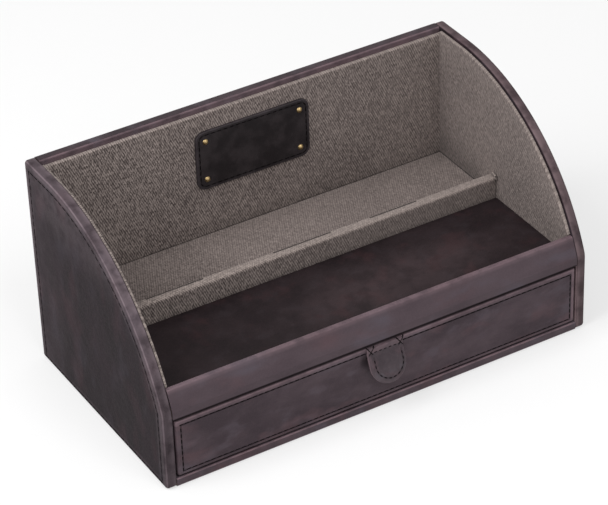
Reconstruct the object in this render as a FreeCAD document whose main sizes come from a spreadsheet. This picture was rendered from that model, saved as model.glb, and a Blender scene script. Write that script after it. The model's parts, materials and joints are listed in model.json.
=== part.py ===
"""Valet box with one drawer: boards wrapped in leather, lined with canvas.

Millimetres. +X is the owner's right, -Y the front, +Z up. The origin is on the
ground under the middle of the case. Every size is a cell of the sheet "Sizes";
the formulas below name those cells, and each feature is bound to its formula.
"""
import FreeCAD, Part
import math
import os
import re

import Sketcher

# ---------------------------------------------------------------- sizes

DIMENSIONS = {
    # the case as a whole
    "case_width": (300.0, "outside, over both side panels"),
    "case_depth": (161.4, "front face to back face"),
    "case_height": (145.5, "ground to the flat top of the sides and back"),
    "flat_top": (30.2, "level stretch of a side's top, from the back"),
    "brow_height": (54.35, "where the arched edge meets the upright front"),
    "panel_thick": (7.0, "side and back panels, leather included"),
    "leather_thick": (0.8, "covering leather"),
    "canvas_thick": (0.5, "lining canvas"),
    "turn_in": (12.0, "leather turned over a panel's edge"),
    "corner_round": (2.6, "corners of a side panel, seen from the side"),
    "brow_round": (16.0, "softened corner at the foot of the arch"),
    "arris_round": (2.0, "outer arris of the panels"),
    "inner_round": (1.3, "inner arris of the panels"),
    # channels that sewing pulls into the leather
    "channel_width": (0.9, "channel under a line of stitches"),
    "channel_depth": (0.3, "channel below the leather's face"),
    "side_seam": (5.6, "middle of a side's channel to its edge"),
    "side_seam_foot": (0.2, "a side's channel above the outer arris, at the foot"),
    "rim_side": (3.6, "middle of the drawer's channel to its side edges"),
    "rim_top": (4.1, "middle of the drawer's channel to its top edge"),
    "rim_foot": (3.1, "middle of the drawer's channel to its lower edge"),
    # floor of the case
    "base_thick": (5.85, "base panel, coverings included"),
    "base_turn": (14.0, "leather turned over the base's front edge"),
    "base_round": (1.2, "front arrises of the base"),
    # drawer bay, deck and rail
    "bay_height": (43.0, "drawer opening, base to rail"),
    "deck_thick": (2.7, "board over the drawer bay"),
    "rail_height": (18.3, "front rail, from the drawer opening up"),
    "rail_thick": (3.5, "front rail, leather included"),
    "rail_round": (1.0, "top arrises of the rail"),
    # open compartments
    "tray_reach": (85.7, "front face of the case to the divider"),
    "tray_pad_thick": (2.5, "padded floor of the front tray"),
    "pad_round": (0.9, "edge of the padded floor"),
    "rear_floor_thick": (1.5, "canvas floor behind the divider"),
    "divider_thick": (7.2, "divider bar"),
    "divider_height": (17.0, "divider bar, above the deck"),
    "divider_round": (1.9, "top arrises of the divider"),
    "tuck_width": (0.45, "tucks in the canvas, along the divider's rear arris"),
    "tuck_depth": (0.45, "tucks below the divider's top"),
    "tuck_back": (1.1, "tucks to the divider's rear face"),
    "left_tuck": (-90.0, "middle of the left tuck, from the case's middle"),
    "left_tuck_length": (40.0, ""),
    "middle_tuck": (0.0, "middle of the middle tuck"),
    "middle_tuck_length": (42.0, ""),
    "right_tuck": (66.5, "middle of the right tuck"),
    "right_tuck_length": (35.0, ""),
    "side_lining_thick": (2.0, "lined card on a side panel"),
    "side_lining_drop": (1.8, "side lining below the panel's edge"),
    "back_lining_thick": (2.8, "lined card on the back panel"),
    "back_lining_drop": (3.9, "back lining below the panel's edge"),
    "lining_round": (0.9, "turned edge of the canvas linings"),
    # plaque and its pins
    "plaque_width": (81.4, ""),
    "plaque_height": (41.6, ""),
    "plaque_thick": (1.8, ""),
    "plaque_round": (6.0, "corners of the plaque"),
    "plaque_edge": (0.45, "worn edge of the plaque's face"),
    "plaque_offset": (1.3, "to the right of the middle"),
    "plaque_drop": (36.7, "middle of the plaque below the top of the back"),
    "border_inset": (2.3, "middle of the plaque's channel to its edge"),
    "border_width": (0.8, "channel round the plaque"),
    "border_depth": (0.25, "channel round the plaque, below its face"),
    "pin_inset": (6.9, "pin to the plaque's left or right edge"),
    "pin_drop": (7.1, "pin to the plaque's top or bottom edge"),
    "pin_head": (4.0, "diameter of the domed head"),
    "pin_rise": (1.3, "height of the domed head"),
    "pin_shank": (1.1, "diameter of the shank"),
    # drawer
    "drawer_gap": (1.1, "gap round the drawer front and beside the box"),
    "drawer_front_thick": (7.0, "drawer front, leather included"),
    "front_round": (1.7, "arrises of the drawer front"),
    "front_turn": (9.0, "leather turned over the back of the front"),
    "runner_gap": (0.3, "drawer box above the sheet it slides on"),
    "rear_gap": (0.3, "drawer box in front of the back panel"),
    "wall_height": (36.0, "drawer sides"),
    "wall_thick": (4.0, "drawer sides and back"),
    "bottom_thick": (2.5, "drawer bottom"),
    "bottom_up": (2.4, "drawer bottom above the sides' lower edge"),
    "groove_depth": (2.0, "groove in the sides for the bottom"),
    "floor_cloth": (1.0, "canvas pad in the drawer"),
    "wall_cloth": (0.6, "canvas on the drawer's walls"),
    "cloth_short": (1.5, "wall canvas below the top of the walls"),
    # pull tab
    "tab_width": (25.0, ""),
    "tab_thick": (1.6, "two layers of leather"),
    "tab_offset": (1.4, "to the right of the middle"),
    "tab_root": (4.3, "sewn-down length of the tab"),
    "tab_length": (20.2, "free length below the fold"),
    "tab_angle": (22.0, "degrees that the tab stands off the front"),
    "tab_gap": (0.3, "room round the tab's fold"),
    "tab_round": (0.5, "edges of the tab"),
}

doc = FreeCAD.newDocument("valet_box")
sizes = doc.addObject("Spreadsheet::Sheet", "Sizes")
for row, (alias, (number, note)) in enumerate(DIMENSIONS.items(), start=1):
    sizes.set(f"A{row}", alias)
    sizes.set(f"B{row}", str(number))
    sizes.set(f"C{row}", note)
    sizes.setAlias(f"B{row}", alias)
doc.recompute()

WORD = re.compile(r"\b[a-z]+(?:_[a-z]+)+\b")


def formula(text):
    """The formula with each size's name pointed at its cell."""
    return WORD.sub(lambda found: "Sizes." + found.group(0), text)


def value(text):
    """The present number of a formula."""
    return float(sizes.evalExpression(formula(text)))


# Places worked out from the sizes.
RIGHT = "(case_width / 2)"
FRONT = "(-case_depth / 2)"
BACK = "(case_depth / 2)"
INSIDE = "(case_width / 2 - panel_thick)"
BACK_FACE = "(case_depth / 2 - panel_thick)"
RUN = "(case_depth - flat_top)"
FALL = "(case_height - brow_height)"
ARCH = f"(({RUN} * {RUN} + {FALL} * {FALL}) / (2 * {FALL}))"
ARCH_Y = "(case_depth / 2 - flat_top)"
ARCH_Z = f"(case_height - {ARCH})"
BAY_TOP = "(base_thick + bay_height)"
DECK_TOP = f"({BAY_TOP} + deck_thick)"
RAIL_TOP = f"({BAY_TOP} + rail_height)"
RAIL_BACK = f"({FRONT} + rail_thick)"
LINING_FACE = f"({INSIDE} - side_lining_thick)"
BACK_LINING_FACE = f"({BACK_FACE} - back_lining_thick)"
DIVIDER_FRONT = f"({FRONT} + tray_reach)"
DIVIDER_BACK = f"({DIVIDER_FRONT} + divider_thick)"
DRAWER_SIDE = f"({INSIDE} - drawer_gap)"
DRAWER_INNER = f"({DRAWER_SIDE} - wall_thick)"
DRAWER_LOW = "(base_thick + runner_gap)"
DRAWER_REAR = f"({BACK_FACE} - rear_gap)"
BOX_FRONT = f"({FRONT} + drawer_front_thick)"
WALL_TOP = f"({DRAWER_LOW} + wall_height)"
BOTTOM_LOW = f"({DRAWER_LOW} + bottom_up)"
BOTTOM_TOP = f"({BOTTOM_LOW} + bottom_thick)"
PLAQUE_Z = "(case_height - plaque_drop)"
FOLD_Y = f"({FRONT} - tab_gap - tab_thick / 2)"
FRONT_TOP = f"({BAY_TOP} - drawer_gap)"
FRONT_LOW = "(base_thick + drawer_gap)"
TAB_TOP = f"({FRONT_TOP} - front_round / 2)"
FOLD_Z = f"({TAB_TOP} - tab_root - tab_gap - tab_thick / 2)"


def edge_y(inset, level):
    """Y of the arched edge, moved in by inset, at a height on the arch."""
    reach = f"({ARCH} - {inset})"
    rise = f"({level} - {ARCH_Z})"
    return f"({ARCH_Y} - sqrt({reach} * {reach} - {rise} * {rise}))"


def brow_z(inset):
    """Height at which the arch, moved in by inset, meets the upright front."""
    reach = f"({ARCH} - {inset})"
    run = f"({RUN} - {inset})"
    return f"({ARCH_Z} + sqrt({reach} * {reach} - {run} * {run}))"


# ------------------------------------------------------------- modelling

PLANES = {"x": "YZ_Plane", "y": "XZ_Plane", "z": "XY_Plane"}
START, END, CENTRE = range(1, 4)  # how the sketcher counts a line's or arc's points
ORIGIN = -START  # the sketch's own horizontal axis, which starts at its origin
SAMPLES = 5  # points looked at along an edge
CLOSE = 1e-4  # mm between two places that count as one
FULL_TURN = 360
nodes = []


def new_body(name):
    """An empty PartDesign body."""
    body = doc.addObject("PartDesign::Body", name)
    body.Label = name
    return body


def keep(feature, name):
    """Name a finished sub-part and mark it for export."""
    feature.Label = name
    nodes.append(feature)
    return feature


def new_sketch(body, axis, level):
    """A sketch square to an axis, at a level along it.

    The XZ plane looks along -Y, so a level on Y is counted backwards there.
    """
    sketch = body.newObject("Sketcher::SketchObject", f"{body.Name}_outline")
    plane = next(item for item in body.Origin.OriginFeatures if item.Role == PLANES[axis])
    sketch.AttachmentSupport = (plane, [""])
    sketch.MapMode = "FlatFace"
    sign = "-" if axis == "y" else ""
    sketch.setExpression(".AttachmentOffset.Base.z", formula(f"{sign}({level})"))
    return sketch


def bind(sketch, constraint, text):
    """Add a dimension to a sketch and bind it to its formula."""
    index = sketch.addConstraint(constraint)
    sketch.setExpression(f"Constraints[{index}]", formula(text))


def draw(sketch, outline):
    """Draw a closed outline, counter-clockwise, from (u, v) or (u, v, radius).

    A radius makes the side that leaves its corner an arc: positive with its
    centre on the left, which is outwards, and negative on the right.
    """
    spots = [FreeCAD.Vector(value(corner[0]), value(corner[1])) for corner in outline]
    first = sketch.GeometryCount
    ends = []
    for index, corner in enumerate(outline):
        begin, finish = spots[index], spots[(index + 1) % len(spots)]
        if len(corner) == 2:
            sketch.addGeometry(Part.LineSegment(begin, finish))
            ends.append((START, END))
            continue
        sign, radius = (-1, corner[2][1:]) if corner[2].startswith("-") else (1, corner[2])
        size = value(radius)
        chord = finish - begin
        left = FreeCAD.Vector(-chord.y, chord.x).normalize()
        height = math.sqrt(max(size ** 2 - chord.Length ** 2 / 4, 0))
        centre = (begin + finish) / 2 + left * height * sign
        low, high = (begin, finish) if sign > 0 else (finish, begin)
        turn = [math.atan2(spot.y - centre.y, spot.x - centre.x) for spot in (low, high)]
        circle = Part.Circle(centre, FreeCAD.Vector(0, 0, 1), size)
        arc = sketch.addGeometry(Part.ArcOfCircle(circle, *turn))
        ends.append((START, END) if sign > 0 else (END, START))
        bind(sketch, Sketcher.Constraint("Radius", arc, size), radius)
    for index, corner in enumerate(outline):
        after = (index + 1) % len(outline)
        here, there = first + index, first + after
        sketch.addConstraint(
            Sketcher.Constraint("Coincident", here, ends[index][1], there, ends[after][0])
        )
        point = (ORIGIN, START, here, ends[index][0])
        bind(sketch, Sketcher.Constraint("DistanceX", *point, spots[index].x), corner[0])
        bind(sketch, Sketcher.Constraint("DistanceY", *point, spots[index].y), corner[1])


def extrude(body, kind, axis, low, high, outlines):
    """Add or cut a prism between two levels along an axis."""
    sketch = new_sketch(body, axis, high if axis == "y" else low)
    for outline in outlines:
        draw(sketch, outline)
    prism = body.newObject(f"PartDesign::{kind}", f"{body.Name}_{kind.lower()}")
    prism.Profile = sketch
    prism.setExpression("Length", formula(f"({high}) - ({low})"))
    return prism


def pad(body, axis, low, high, *outlines):
    """Add a prism between two levels along an axis."""
    extrude(body, "Pad", axis, low, high, outlines)


def pocket(body, axis, low, high, *outlines):
    """Cut a prism between two levels along an axis, and make sure that it cuts."""
    doc.recompute()
    before = body.Shape.Volume
    extrude(body, "Pocket", axis, low, high, outlines).Reversed = True
    doc.recompute()
    if body.Shape.Volume >= before:
        raise RuntimeError(f"a pocket in {body.Name} cuts nothing")


def rectangle(low_u, high_u, low_v, high_v):
    """Corners of a rectangle."""
    return [(low_u, low_v), (high_u, low_v), (high_u, high_v), (low_u, high_v)]


def rounded(low_u, high_u, low_v, high_v, radius):
    """Outline of a rectangle with rounded corners."""
    left, right = f"({low_u} + {radius})", f"({high_u} - {radius})"
    under, over = f"({low_v} + {radius})", f"({high_v} - {radius})"
    return [
        (left, low_v),
        (right, low_v, radius),
        (high_u, under),
        (high_u, over, radius),
        (right, high_v),
        (left, high_v, radius),
        (low_u, over),
        (low_u, under, radius),
    ]


def block(name, x, y, z):
    """A body that fills the given spans along X, Y and Z."""
    body = new_body(name)
    pad(body, "z", *z, rectangle(*x, *y))
    return body


def both_ways(half):
    """The span from minus half to plus half."""
    return (f"-({half})", half)


def edges_at(body, reach=lambda middle: True, **places):
    """Names of the edges that lie wholly at the given x, y or z."""
    doc.recompute()
    found = []
    for index, edge in enumerate(body.Shape.Edges, start=1):
        points = edge.discretize(SAMPLES)
        close = all(
            abs(getattr(point, axis) - value(text)) < CLOSE
            for axis, text in places.items()
            for point in points
        )
        if close and reach(points[SAMPLES // 2]):
            found.append(f"Edge{index}")
    if not found:
        raise RuntimeError(f"{body.Name} has no edge at {places}")
    return found


def corners(body, across, up):
    """Names of the edges that run front to back at the given X and Z."""
    return [name for x in across for z in up for name in edges_at(body, x=x, z=z)]


def fillet(body, radius, names):
    """Round the named edges of a body."""
    rounded = body.newObject("PartDesign::Fillet", f"{body.Name}_fillet")
    rounded.Base = (rounded.BaseFeature, names)
    rounded.setExpression("Radius", formula(radius))
    doc.recompute()


def cover(name, wrapped, board):
    """The covering that is left when its board is taken out of the wrapped shape."""
    skin = doc.addObject("Part::Cut", name)
    skin.Base = wrapped
    skin.Tool = board
    return keep(skin, name)


# ------------------------------------------------------------ side panels


def panel_outline(inset):
    """Profile of a side panel, moved in all round."""
    top = f"(case_height - {inset})"
    front, back = f"({FRONT} + {inset})", f"({BACK} - {inset})"
    return [
        (front, inset),
        (back, inset),
        (back, top),
        (ARCH_Y, top, f"({ARCH} - {inset})"),
        (front, brow_z(inset)),
    ]


def side_channel(inset):
    """Profile of one edge of a side panel's channel, which runs low along the foot."""
    foot = f"({inset} - side_seam + channel_width / 2 + arris_round + side_seam_foot)"
    outline = panel_outline(inset)
    return [(outline[0][0], foot), (outline[1][0], foot), *outline[2:]]


def side_shape(name, side, inset):
    """A side panel's solid: the wrapped one at inset 0, its board at the leather's."""
    body = new_body(name)
    outer, inner = f"({RIGHT} - {inset})", f"({INSIDE} + {inset})"
    span = (inner, outer) if side > 0 else (f"-{outer}", f"-{inner}")
    pad(body, "x", *span, panel_outline(inset))
    front, back, top = f"{FRONT} + {inset}", f"{BACK} - {inset}", f"case_height - {inset}"
    fillet(body, f"brow_round - {inset}", edges_at(body, y=front, z=brow_z(inset)))
    low = edges_at(body, y=front, z=inset) + edges_at(body, y=back, z=inset)
    fillet(body, f"corner_round - {inset}", low + edges_at(body, y=back, z=top))
    arris = edges_at(body, x=span[1] if side > 0 else span[0])
    fillet(body, f"arris_round - {inset}", arris)
    return body


def side_panel(hand, side):
    """One side: board with a raised field, leather round it, lined card inside."""
    board = side_shape(f"side_board_{hand}", side, "leather_thick")
    field = (INSIDE, f"{INSIDE} + leather_thick")
    span = field if side > 0 else (f"-({field[1]})", f"-{field[0]}")
    pad(board, "x", *span, panel_outline("(leather_thick + turn_in)"))
    keep(board, f"side_board_{hand}")
    wrapped = side_shape(f"side_{hand}", side, "0")
    inner = INSIDE if side > 0 else f"-{INSIDE}"
    seen = value("corner_round")
    upper = edges_at(
        wrapped, lambda spot: spot.z > seen and spot.y < value(BACK) - seen, x=inner
    )
    fillet(wrapped, "inner_round", upper)
    bed = f"({RIGHT} - channel_depth)"
    span = (bed, RIGHT) if side > 0 else (f"-{RIGHT}", f"-{bed}")
    edges = ("(side_seam - channel_width / 2)", "(side_seam + channel_width / 2)")
    pocket(wrapped, "x", *span, *(side_channel(edge) for edge in edges))
    for edge in edges:
        brow = edges_at(wrapped, y=f"{FRONT} + {edge}", z=brow_z(edge))
        fillet(wrapped, f"brow_round - {edge}", brow)
    cover(f"side_cover_{hand}", wrapped, board)


def lining_outline(inset):
    """Profile of a side lining: it stands on the deck and steps in behind the rail.

    The step is square to the arch: both its corners lie on one radius.
    """
    drop = f"(side_lining_drop + {inset})"
    behind = f"(rail_thick + {inset})"
    low, ledge = f"({DECK_TOP} + {inset})", f"({RAIL_TOP} + {inset})"
    top, back = f"(case_height - {drop})", f"({BACK_LINING_FACE} - {inset})"
    inner_y = edge_y(behind, ledge)
    ratio = f"(({ARCH} - {drop}) / ({ARCH} - {behind}))"
    outer_y = f"({ARCH_Y} - {ratio} * ({ARCH_Y} - {inner_y}))"
    return [
        (f"({FRONT} + {behind})", low),
        (back, low),
        (back, top),
        (ARCH_Y, top, f"({ARCH} - {drop})"),
        (outer_y, f"({ARCH_Z} + {ratio} * ({ledge} - {ARCH_Z}))"),
        (inner_y, ledge, f"({ARCH} - {behind})"),
        (f"({FRONT} + {behind})", brow_z(behind)),
    ]


def side_lining(hand, side):
    """Square-edged card on the side panel, wrapped in canvas with a soft edge."""
    shapes = []
    for name, inset in ((f"lining_card_{hand}", "canvas_thick"), (f"lining_{hand}", "0")):
        body = new_body(name)
        face = f"({LINING_FACE} + {inset})"
        span = (face, INSIDE) if side > 0 else (f"-{INSIDE}", f"-{face}")
        pad(body, "x", *span, lining_outline(inset))
        shapes.append(body)
    card, wrapped = shapes
    shown = LINING_FACE if side > 0 else f"-{LINING_FACE}"
    step, back = value(f"({RAIL_TOP} + rail_thick)"), value(BACK_LINING_FACE) - CLOSE
    upper = edges_at(wrapped, lambda spot: spot.z > step and spot.y < back, x=shown)
    fillet(wrapped, "lining_round", upper)
    keep(card, f"lining_card_{hand}")
    cover(f"lining_canvas_{hand}", wrapped, card)


# ------------------------------------------------------------- back panel


def pin_spots():
    """X and Z of the four plaque pins, as formulas."""
    across, up = "(plaque_width / 2 - pin_inset)", "(plaque_height / 2 - pin_drop)"
    return [
        (f"(plaque_offset + {sx}{across})", f"({PLAQUE_Z} + {sz}{up})")
        for sx in ("", "-")
        for sz in ("", "-")
    ]


def pin_holes(body, low, high):
    """Holes for the four pins, through the given span of depth."""
    doc.recompute()
    before = body.Shape.Volume
    sketch = new_sketch(body, "y", high)
    for across, up in pin_spots():
        centre = FreeCAD.Vector(value(across), value(up))
        ring = Part.Circle(centre, FreeCAD.Vector(0, 0, 1), value("pin_shank / 2"))
        circle = sketch.addGeometry(ring)
        point = (ORIGIN, START, circle, CENTRE)
        bind(sketch, Sketcher.Constraint("DistanceX", *point, centre.x), across)
        bind(sketch, Sketcher.Constraint("DistanceY", *point, centre.y), up)
        bind(sketch, Sketcher.Constraint("Radius", circle, ring.Radius), "pin_shank / 2")
    hole = body.newObject("PartDesign::Pocket", f"{body.Name}_pin_holes")
    hole.Profile = sketch
    hole.Reversed = True
    hole.setExpression("Length", formula(f"({high}) - ({low})"))
    doc.recompute()
    if body.Shape.Volume >= before:
        raise RuntimeError(f"the pin holes in {body.Name} cut nothing")


def back_shape(name, inset):
    """The back panel's solid: wrapped at inset 0, its board at the leather's."""
    body = new_body(name)
    front, back = f"({BACK_FACE} + {inset})", f"({BACK} - {inset})"
    low, top = f"{inset}", f"(case_height - {inset})"
    pad(body, "x", *both_ways(INSIDE), rectangle(front, back, low, top))
    outer = edges_at(body, y=back, z=top) + edges_at(body, y=back, z=low)
    fillet(body, f"arris_round - {inset}", outer)
    fillet(body, f"inner_round - {inset}", edges_at(body, y=front, z=top))
    return body


def back_panel():
    """Back: board with a raised field, and leather wrapped over top and bottom."""
    board = back_shape("back_board", "leather_thick")
    edge = "(leather_thick + turn_in)"
    field = rectangle(BACK_FACE, f"({BACK_FACE} + leather_thick)", edge, f"(case_height - {edge})")
    pad(board, "x", *both_ways(INSIDE), field)
    keep(board, "back_board")
    cover("back_cover", back_shape("back", "0"), board)


def back_lining():
    """Square-edged card behind the compartments, wrapped in canvas, with pin holes."""
    shapes = []
    for name, inset in (("back_lining_card", "canvas_thick"), ("back_lining", "0")):
        face = f"({BACK_LINING_FACE} + {inset})"
        low, top = f"({DECK_TOP} + {inset})", f"(case_height - back_lining_drop - {inset})"
        body = new_body(name)
        pad(body, "x", *both_ways(INSIDE), rectangle(face, BACK_FACE, low, top))
        pin_holes(body, face, BACK_FACE)
        shapes.append(body)
    card, wrapped = shapes
    fillet(wrapped, "lining_round", edges_at(wrapped, y=face, z=top))
    keep(card, "back_lining_card")
    cover("back_lining_canvas", wrapped, card)


# --------------------------------------------------- base, deck and rail


def base_panel():
    """Base: board, leather over its front edge, felt below, slip sheet above.

    Felt and slip sheet are as thick as the leather that is turned in beside them.
    """
    board_front = f"({FRONT} + leather_thick)"
    span = both_ways(INSIDE)
    low, high = "leather_thick", "(base_thick - leather_thick)"
    board = new_body("base_board")
    pad(board, "x", *span, rectangle(board_front, BACK_FACE, low, high))
    front_edges = edges_at(board, y=board_front, z=low) + edges_at(board, y=board_front, z=high)
    fillet(board, "base_round - leather_thick", front_edges)
    keep(board, "base_board")
    wrapped = new_body("base_front")
    turned = f"({FRONT} + base_turn)"
    pad(wrapped, "x", *span, rectangle(FRONT, turned, "0", "base_thick"))
    front_edges = edges_at(wrapped, y=FRONT, z="0") + edges_at(wrapped, y=FRONT, z="base_thick")
    fillet(wrapped, "base_round", front_edges)
    cover("base_cover", wrapped, board)
    keep(block("base_felt", span, (turned, BACK_FACE), ("0", "leather_thick")), "base_felt")
    slip = ("(base_thick - leather_thick)", "base_thick")
    keep(block("bay_slip_sheet", span, (turned, BACK_FACE), slip), "bay_slip_sheet")


def rail_outline(inset):
    """Profile of the front rail: upright, then leaning back along the arch."""
    low, top = f"({BAY_TOP} + {inset})", f"({RAIL_TOP} - {inset})"
    behind = f"(rail_thick - {inset})"
    return [
        (f"({FRONT} + {inset})", low),
        (f"({FRONT} + {behind})", low),
        (f"({FRONT} + {behind})", brow_z(behind), f"-({ARCH} - {behind})"),
        (edge_y(behind, top), top),
        (edge_y(inset, top), top, f"({ARCH} - {inset})"),
        (f"({FRONT} + {inset})", brow_z(inset)),
    ]


def front_rail():
    """Rail between the sides, over the drawer: a board wrapped in leather."""
    shapes = []
    for name, inset in (("rail_board", "leather_thick"), ("rail", "0")):
        body = new_body(name)
        pad(body, "x", *both_ways(INSIDE), rail_outline(inset))
        shapes.append(body)
    board, wrapped = shapes
    top = edges_at(wrapped, y=edge_y("0", RAIL_TOP), z=RAIL_TOP)
    top += edges_at(wrapped, y=edge_y("rail_thick", RAIL_TOP), z=RAIL_TOP)
    fillet(wrapped, "rail_round", top)
    keep(board, "rail_board")
    cover("rail_cover", wrapped, board)


def tuck(place):
    """Outline of a tuck in the divider's canvas, seen from above."""
    half = f"({place}_length / 2)"
    rear = f"({DIVIDER_BACK} - tuck_back)"
    return rectangle(f"({place} - {half})", f"({place} + {half})", f"({rear} - tuck_width)", rear)


def compartments():
    """Deck over the drawer bay, padded tray, rear floor and the bar between them."""
    level = (BAY_TOP, DECK_TOP)
    keep(block("deck_board", both_ways(INSIDE), (RAIL_BACK, BACK_FACE), level), "deck_board")
    span = both_ways(LINING_FACE)

    pad_top = f"({DECK_TOP} + tray_pad_thick)"
    wrapped = block("tray_pad", span, (RAIL_BACK, DIVIDER_FRONT), (DECK_TOP, pad_top))
    fillet(wrapped, "pad_round", edges_at(wrapped, z=pad_top))
    core = block(
        "tray_pad_core",
        both_ways(f"({LINING_FACE} - leather_thick)"),
        (f"{RAIL_BACK} + leather_thick", f"{DIVIDER_FRONT} - leather_thick"),
        (DECK_TOP, f"{pad_top} - leather_thick"),
    )
    keep(core, "tray_pad_core")
    cover("tray_leather", wrapped, core)

    floor_top = f"({DECK_TOP} + rear_floor_thick)"
    depth = (DIVIDER_BACK, BACK_LINING_FACE)
    wrapped = block("rear_floor", span, depth, (DECK_TOP, floor_top))
    card = block(
        "rear_floor_card",
        both_ways(f"({LINING_FACE} - canvas_thick)"),
        (f"{DIVIDER_BACK} + canvas_thick", f"{BACK_LINING_FACE} - canvas_thick"),
        (DECK_TOP, f"{floor_top} - canvas_thick"),
    )
    keep(card, "rear_floor_card")
    cover("rear_floor_canvas", wrapped, card)

    shapes = []
    for name, inset in (("divider_board", "canvas_thick"), ("divider", "0")):
        body = new_body(name)
        front, back = f"({DIVIDER_FRONT} + {inset})", f"({DIVIDER_BACK} - {inset})"
        top = f"({DECK_TOP} + divider_height - {inset})"
        pad(body, "x", *span, rectangle(front, back, DECK_TOP, top))
        ridge = edges_at(body, y=front, z=top) + edges_at(body, y=back, z=top)
        fillet(body, f"divider_round - {inset}", ridge)
        shapes.append(body)
    board, wrapped = shapes
    tucks = [tuck(place) for place in ("left_tuck", "middle_tuck", "right_tuck")]
    top = f"({DECK_TOP} + divider_height)"
    pocket(wrapped, "z", f"({top} - tuck_depth)", top, *tucks)
    keep(board, "divider_board")
    cover("divider_canvas", wrapped, board)


# ----------------------------------------------------------------- plaque


def plaque():
    """Leather plaque on the back lining, and its four domed pins."""
    body = new_body("plaque")
    across = ("(plaque_offset - plaque_width / 2)", "(plaque_offset + plaque_width / 2)")
    up = (f"({PLAQUE_Z} - plaque_height / 2)", f"({PLAQUE_Z} + plaque_height / 2)")
    face = f"({BACK_LINING_FACE} - plaque_thick)"
    pad(body, "y", face, BACK_LINING_FACE, rectangle(*across, *up))
    fillet(body, "plaque_round", corners(body, across, up))
    fillet(body, "plaque_edge", edges_at(body, y=face))
    rings = []
    for edge in ("(border_inset - border_width / 2)", "(border_inset + border_width / 2)"):
        x = (f"({across[0]} + {edge})", f"({across[1]} - {edge})")
        z = (f"({up[0]} + {edge})", f"({up[1]} - {edge})")
        rings.append(rounded(*x, *z, f"(plaque_round - {edge})"))
    pocket(body, "y", face, f"({face} + border_depth)", *rings)
    pin_holes(body, face, BACK_LINING_FACE)
    keep(body, "plaque")

    pin = new_body("plaque_pin")
    sketch = new_sketch(pin, "x", "0")
    head, shank, rise = "(pin_head / 2)", "(pin_shank / 2)", "pin_rise"
    dome = f"(({head} * {head} + {rise} * {rise}) / (2 * {rise}))"
    tip = "(plaque_thick + back_lining_thick)"
    outline = [(f"-{rise}", "0"), (tip, "0"), (tip, shank), ("0", shank), ("0", head, dome)]
    draw(sketch, outline)
    turned = pin.newObject("PartDesign::Revolution", "plaque_pin_turned")
    turned.Profile = sketch
    turned.ReferenceAxis = (sketch, ["H_Axis"])
    turned.Angle = FULL_TURN
    across, up = pin_spots()[0]
    pin.setExpression("Placement.Base.x", formula(across))
    pin.setExpression("Placement.Base.y", formula(face))
    pin.setExpression("Placement.Base.z", formula(up))
    group = pin
    for normal, level, axis in (((1, 0, 0), "plaque_offset", "x"), ((0, 0, 1), PLAQUE_Z, "z")):
        mirror = doc.addObject("Part::Mirroring", f"pins_mirrored_{axis}")
        mirror.Source = group
        mirror.Normal = FreeCAD.Vector(*normal)
        mirror.setExpression(f"Base.{axis}", formula(level))
        pair = doc.addObject("Part::Compound", f"pins_{axis}")
        pair.Links = [group, mirror]
        group = pair
    keep(group, "plaque_pins")


# ----------------------------------------------------------------- drawer


def front_shape(name, inset):
    """The drawer front's solid: wrapped at inset 0, its board at the leather's."""
    body = new_body(name)
    half = f"({DRAWER_SIDE} - {inset})"
    low, top = f"({FRONT_LOW} + {inset})", f"({FRONT_TOP} - {inset})"
    face, rear = f"({FRONT} + {inset})", f"({BOX_FRONT} - {inset})"
    pad(body, "y", face, rear, rectangle(f"-{half}", half, low, top))
    fillet(body, f"front_round - {inset}", corners(body, (f"-{half}", half), (low, top)))
    fillet(body, f"front_round - {inset}", edges_at(body, y=face))
    return body


def drawer_front():
    """Drawer front: board with a raised field behind, and leather round it."""
    board = front_shape("drawer_front_board", "leather_thick")
    edge = "(leather_thick + front_turn)"
    half = f"({DRAWER_SIDE} - {edge})"
    field = rectangle(f"-{half}", half, f"{FRONT_LOW} + {edge}", f"{FRONT_TOP} - {edge}")
    pad(board, "y", f"({BOX_FRONT} - leather_thick)", BOX_FRONT, field)
    keep(board, "drawer_front_board")
    wrapped = front_shape("drawer_front", "0")
    outlines = []
    for edge in ("- channel_width / 2", "+ channel_width / 2"):
        half = f"({DRAWER_SIDE} - (rim_side {edge}))"
        low, high = f"({FRONT_LOW} + (rim_foot {edge}))", f"({FRONT_TOP} - (rim_top {edge}))"
        outlines.append(rectangle(f"-{half}", half, low, high))
    pocket(wrapped, "y", FRONT, f"({FRONT} + channel_depth)", *outlines)
    cover("drawer_front_cover", wrapped, board)


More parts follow.
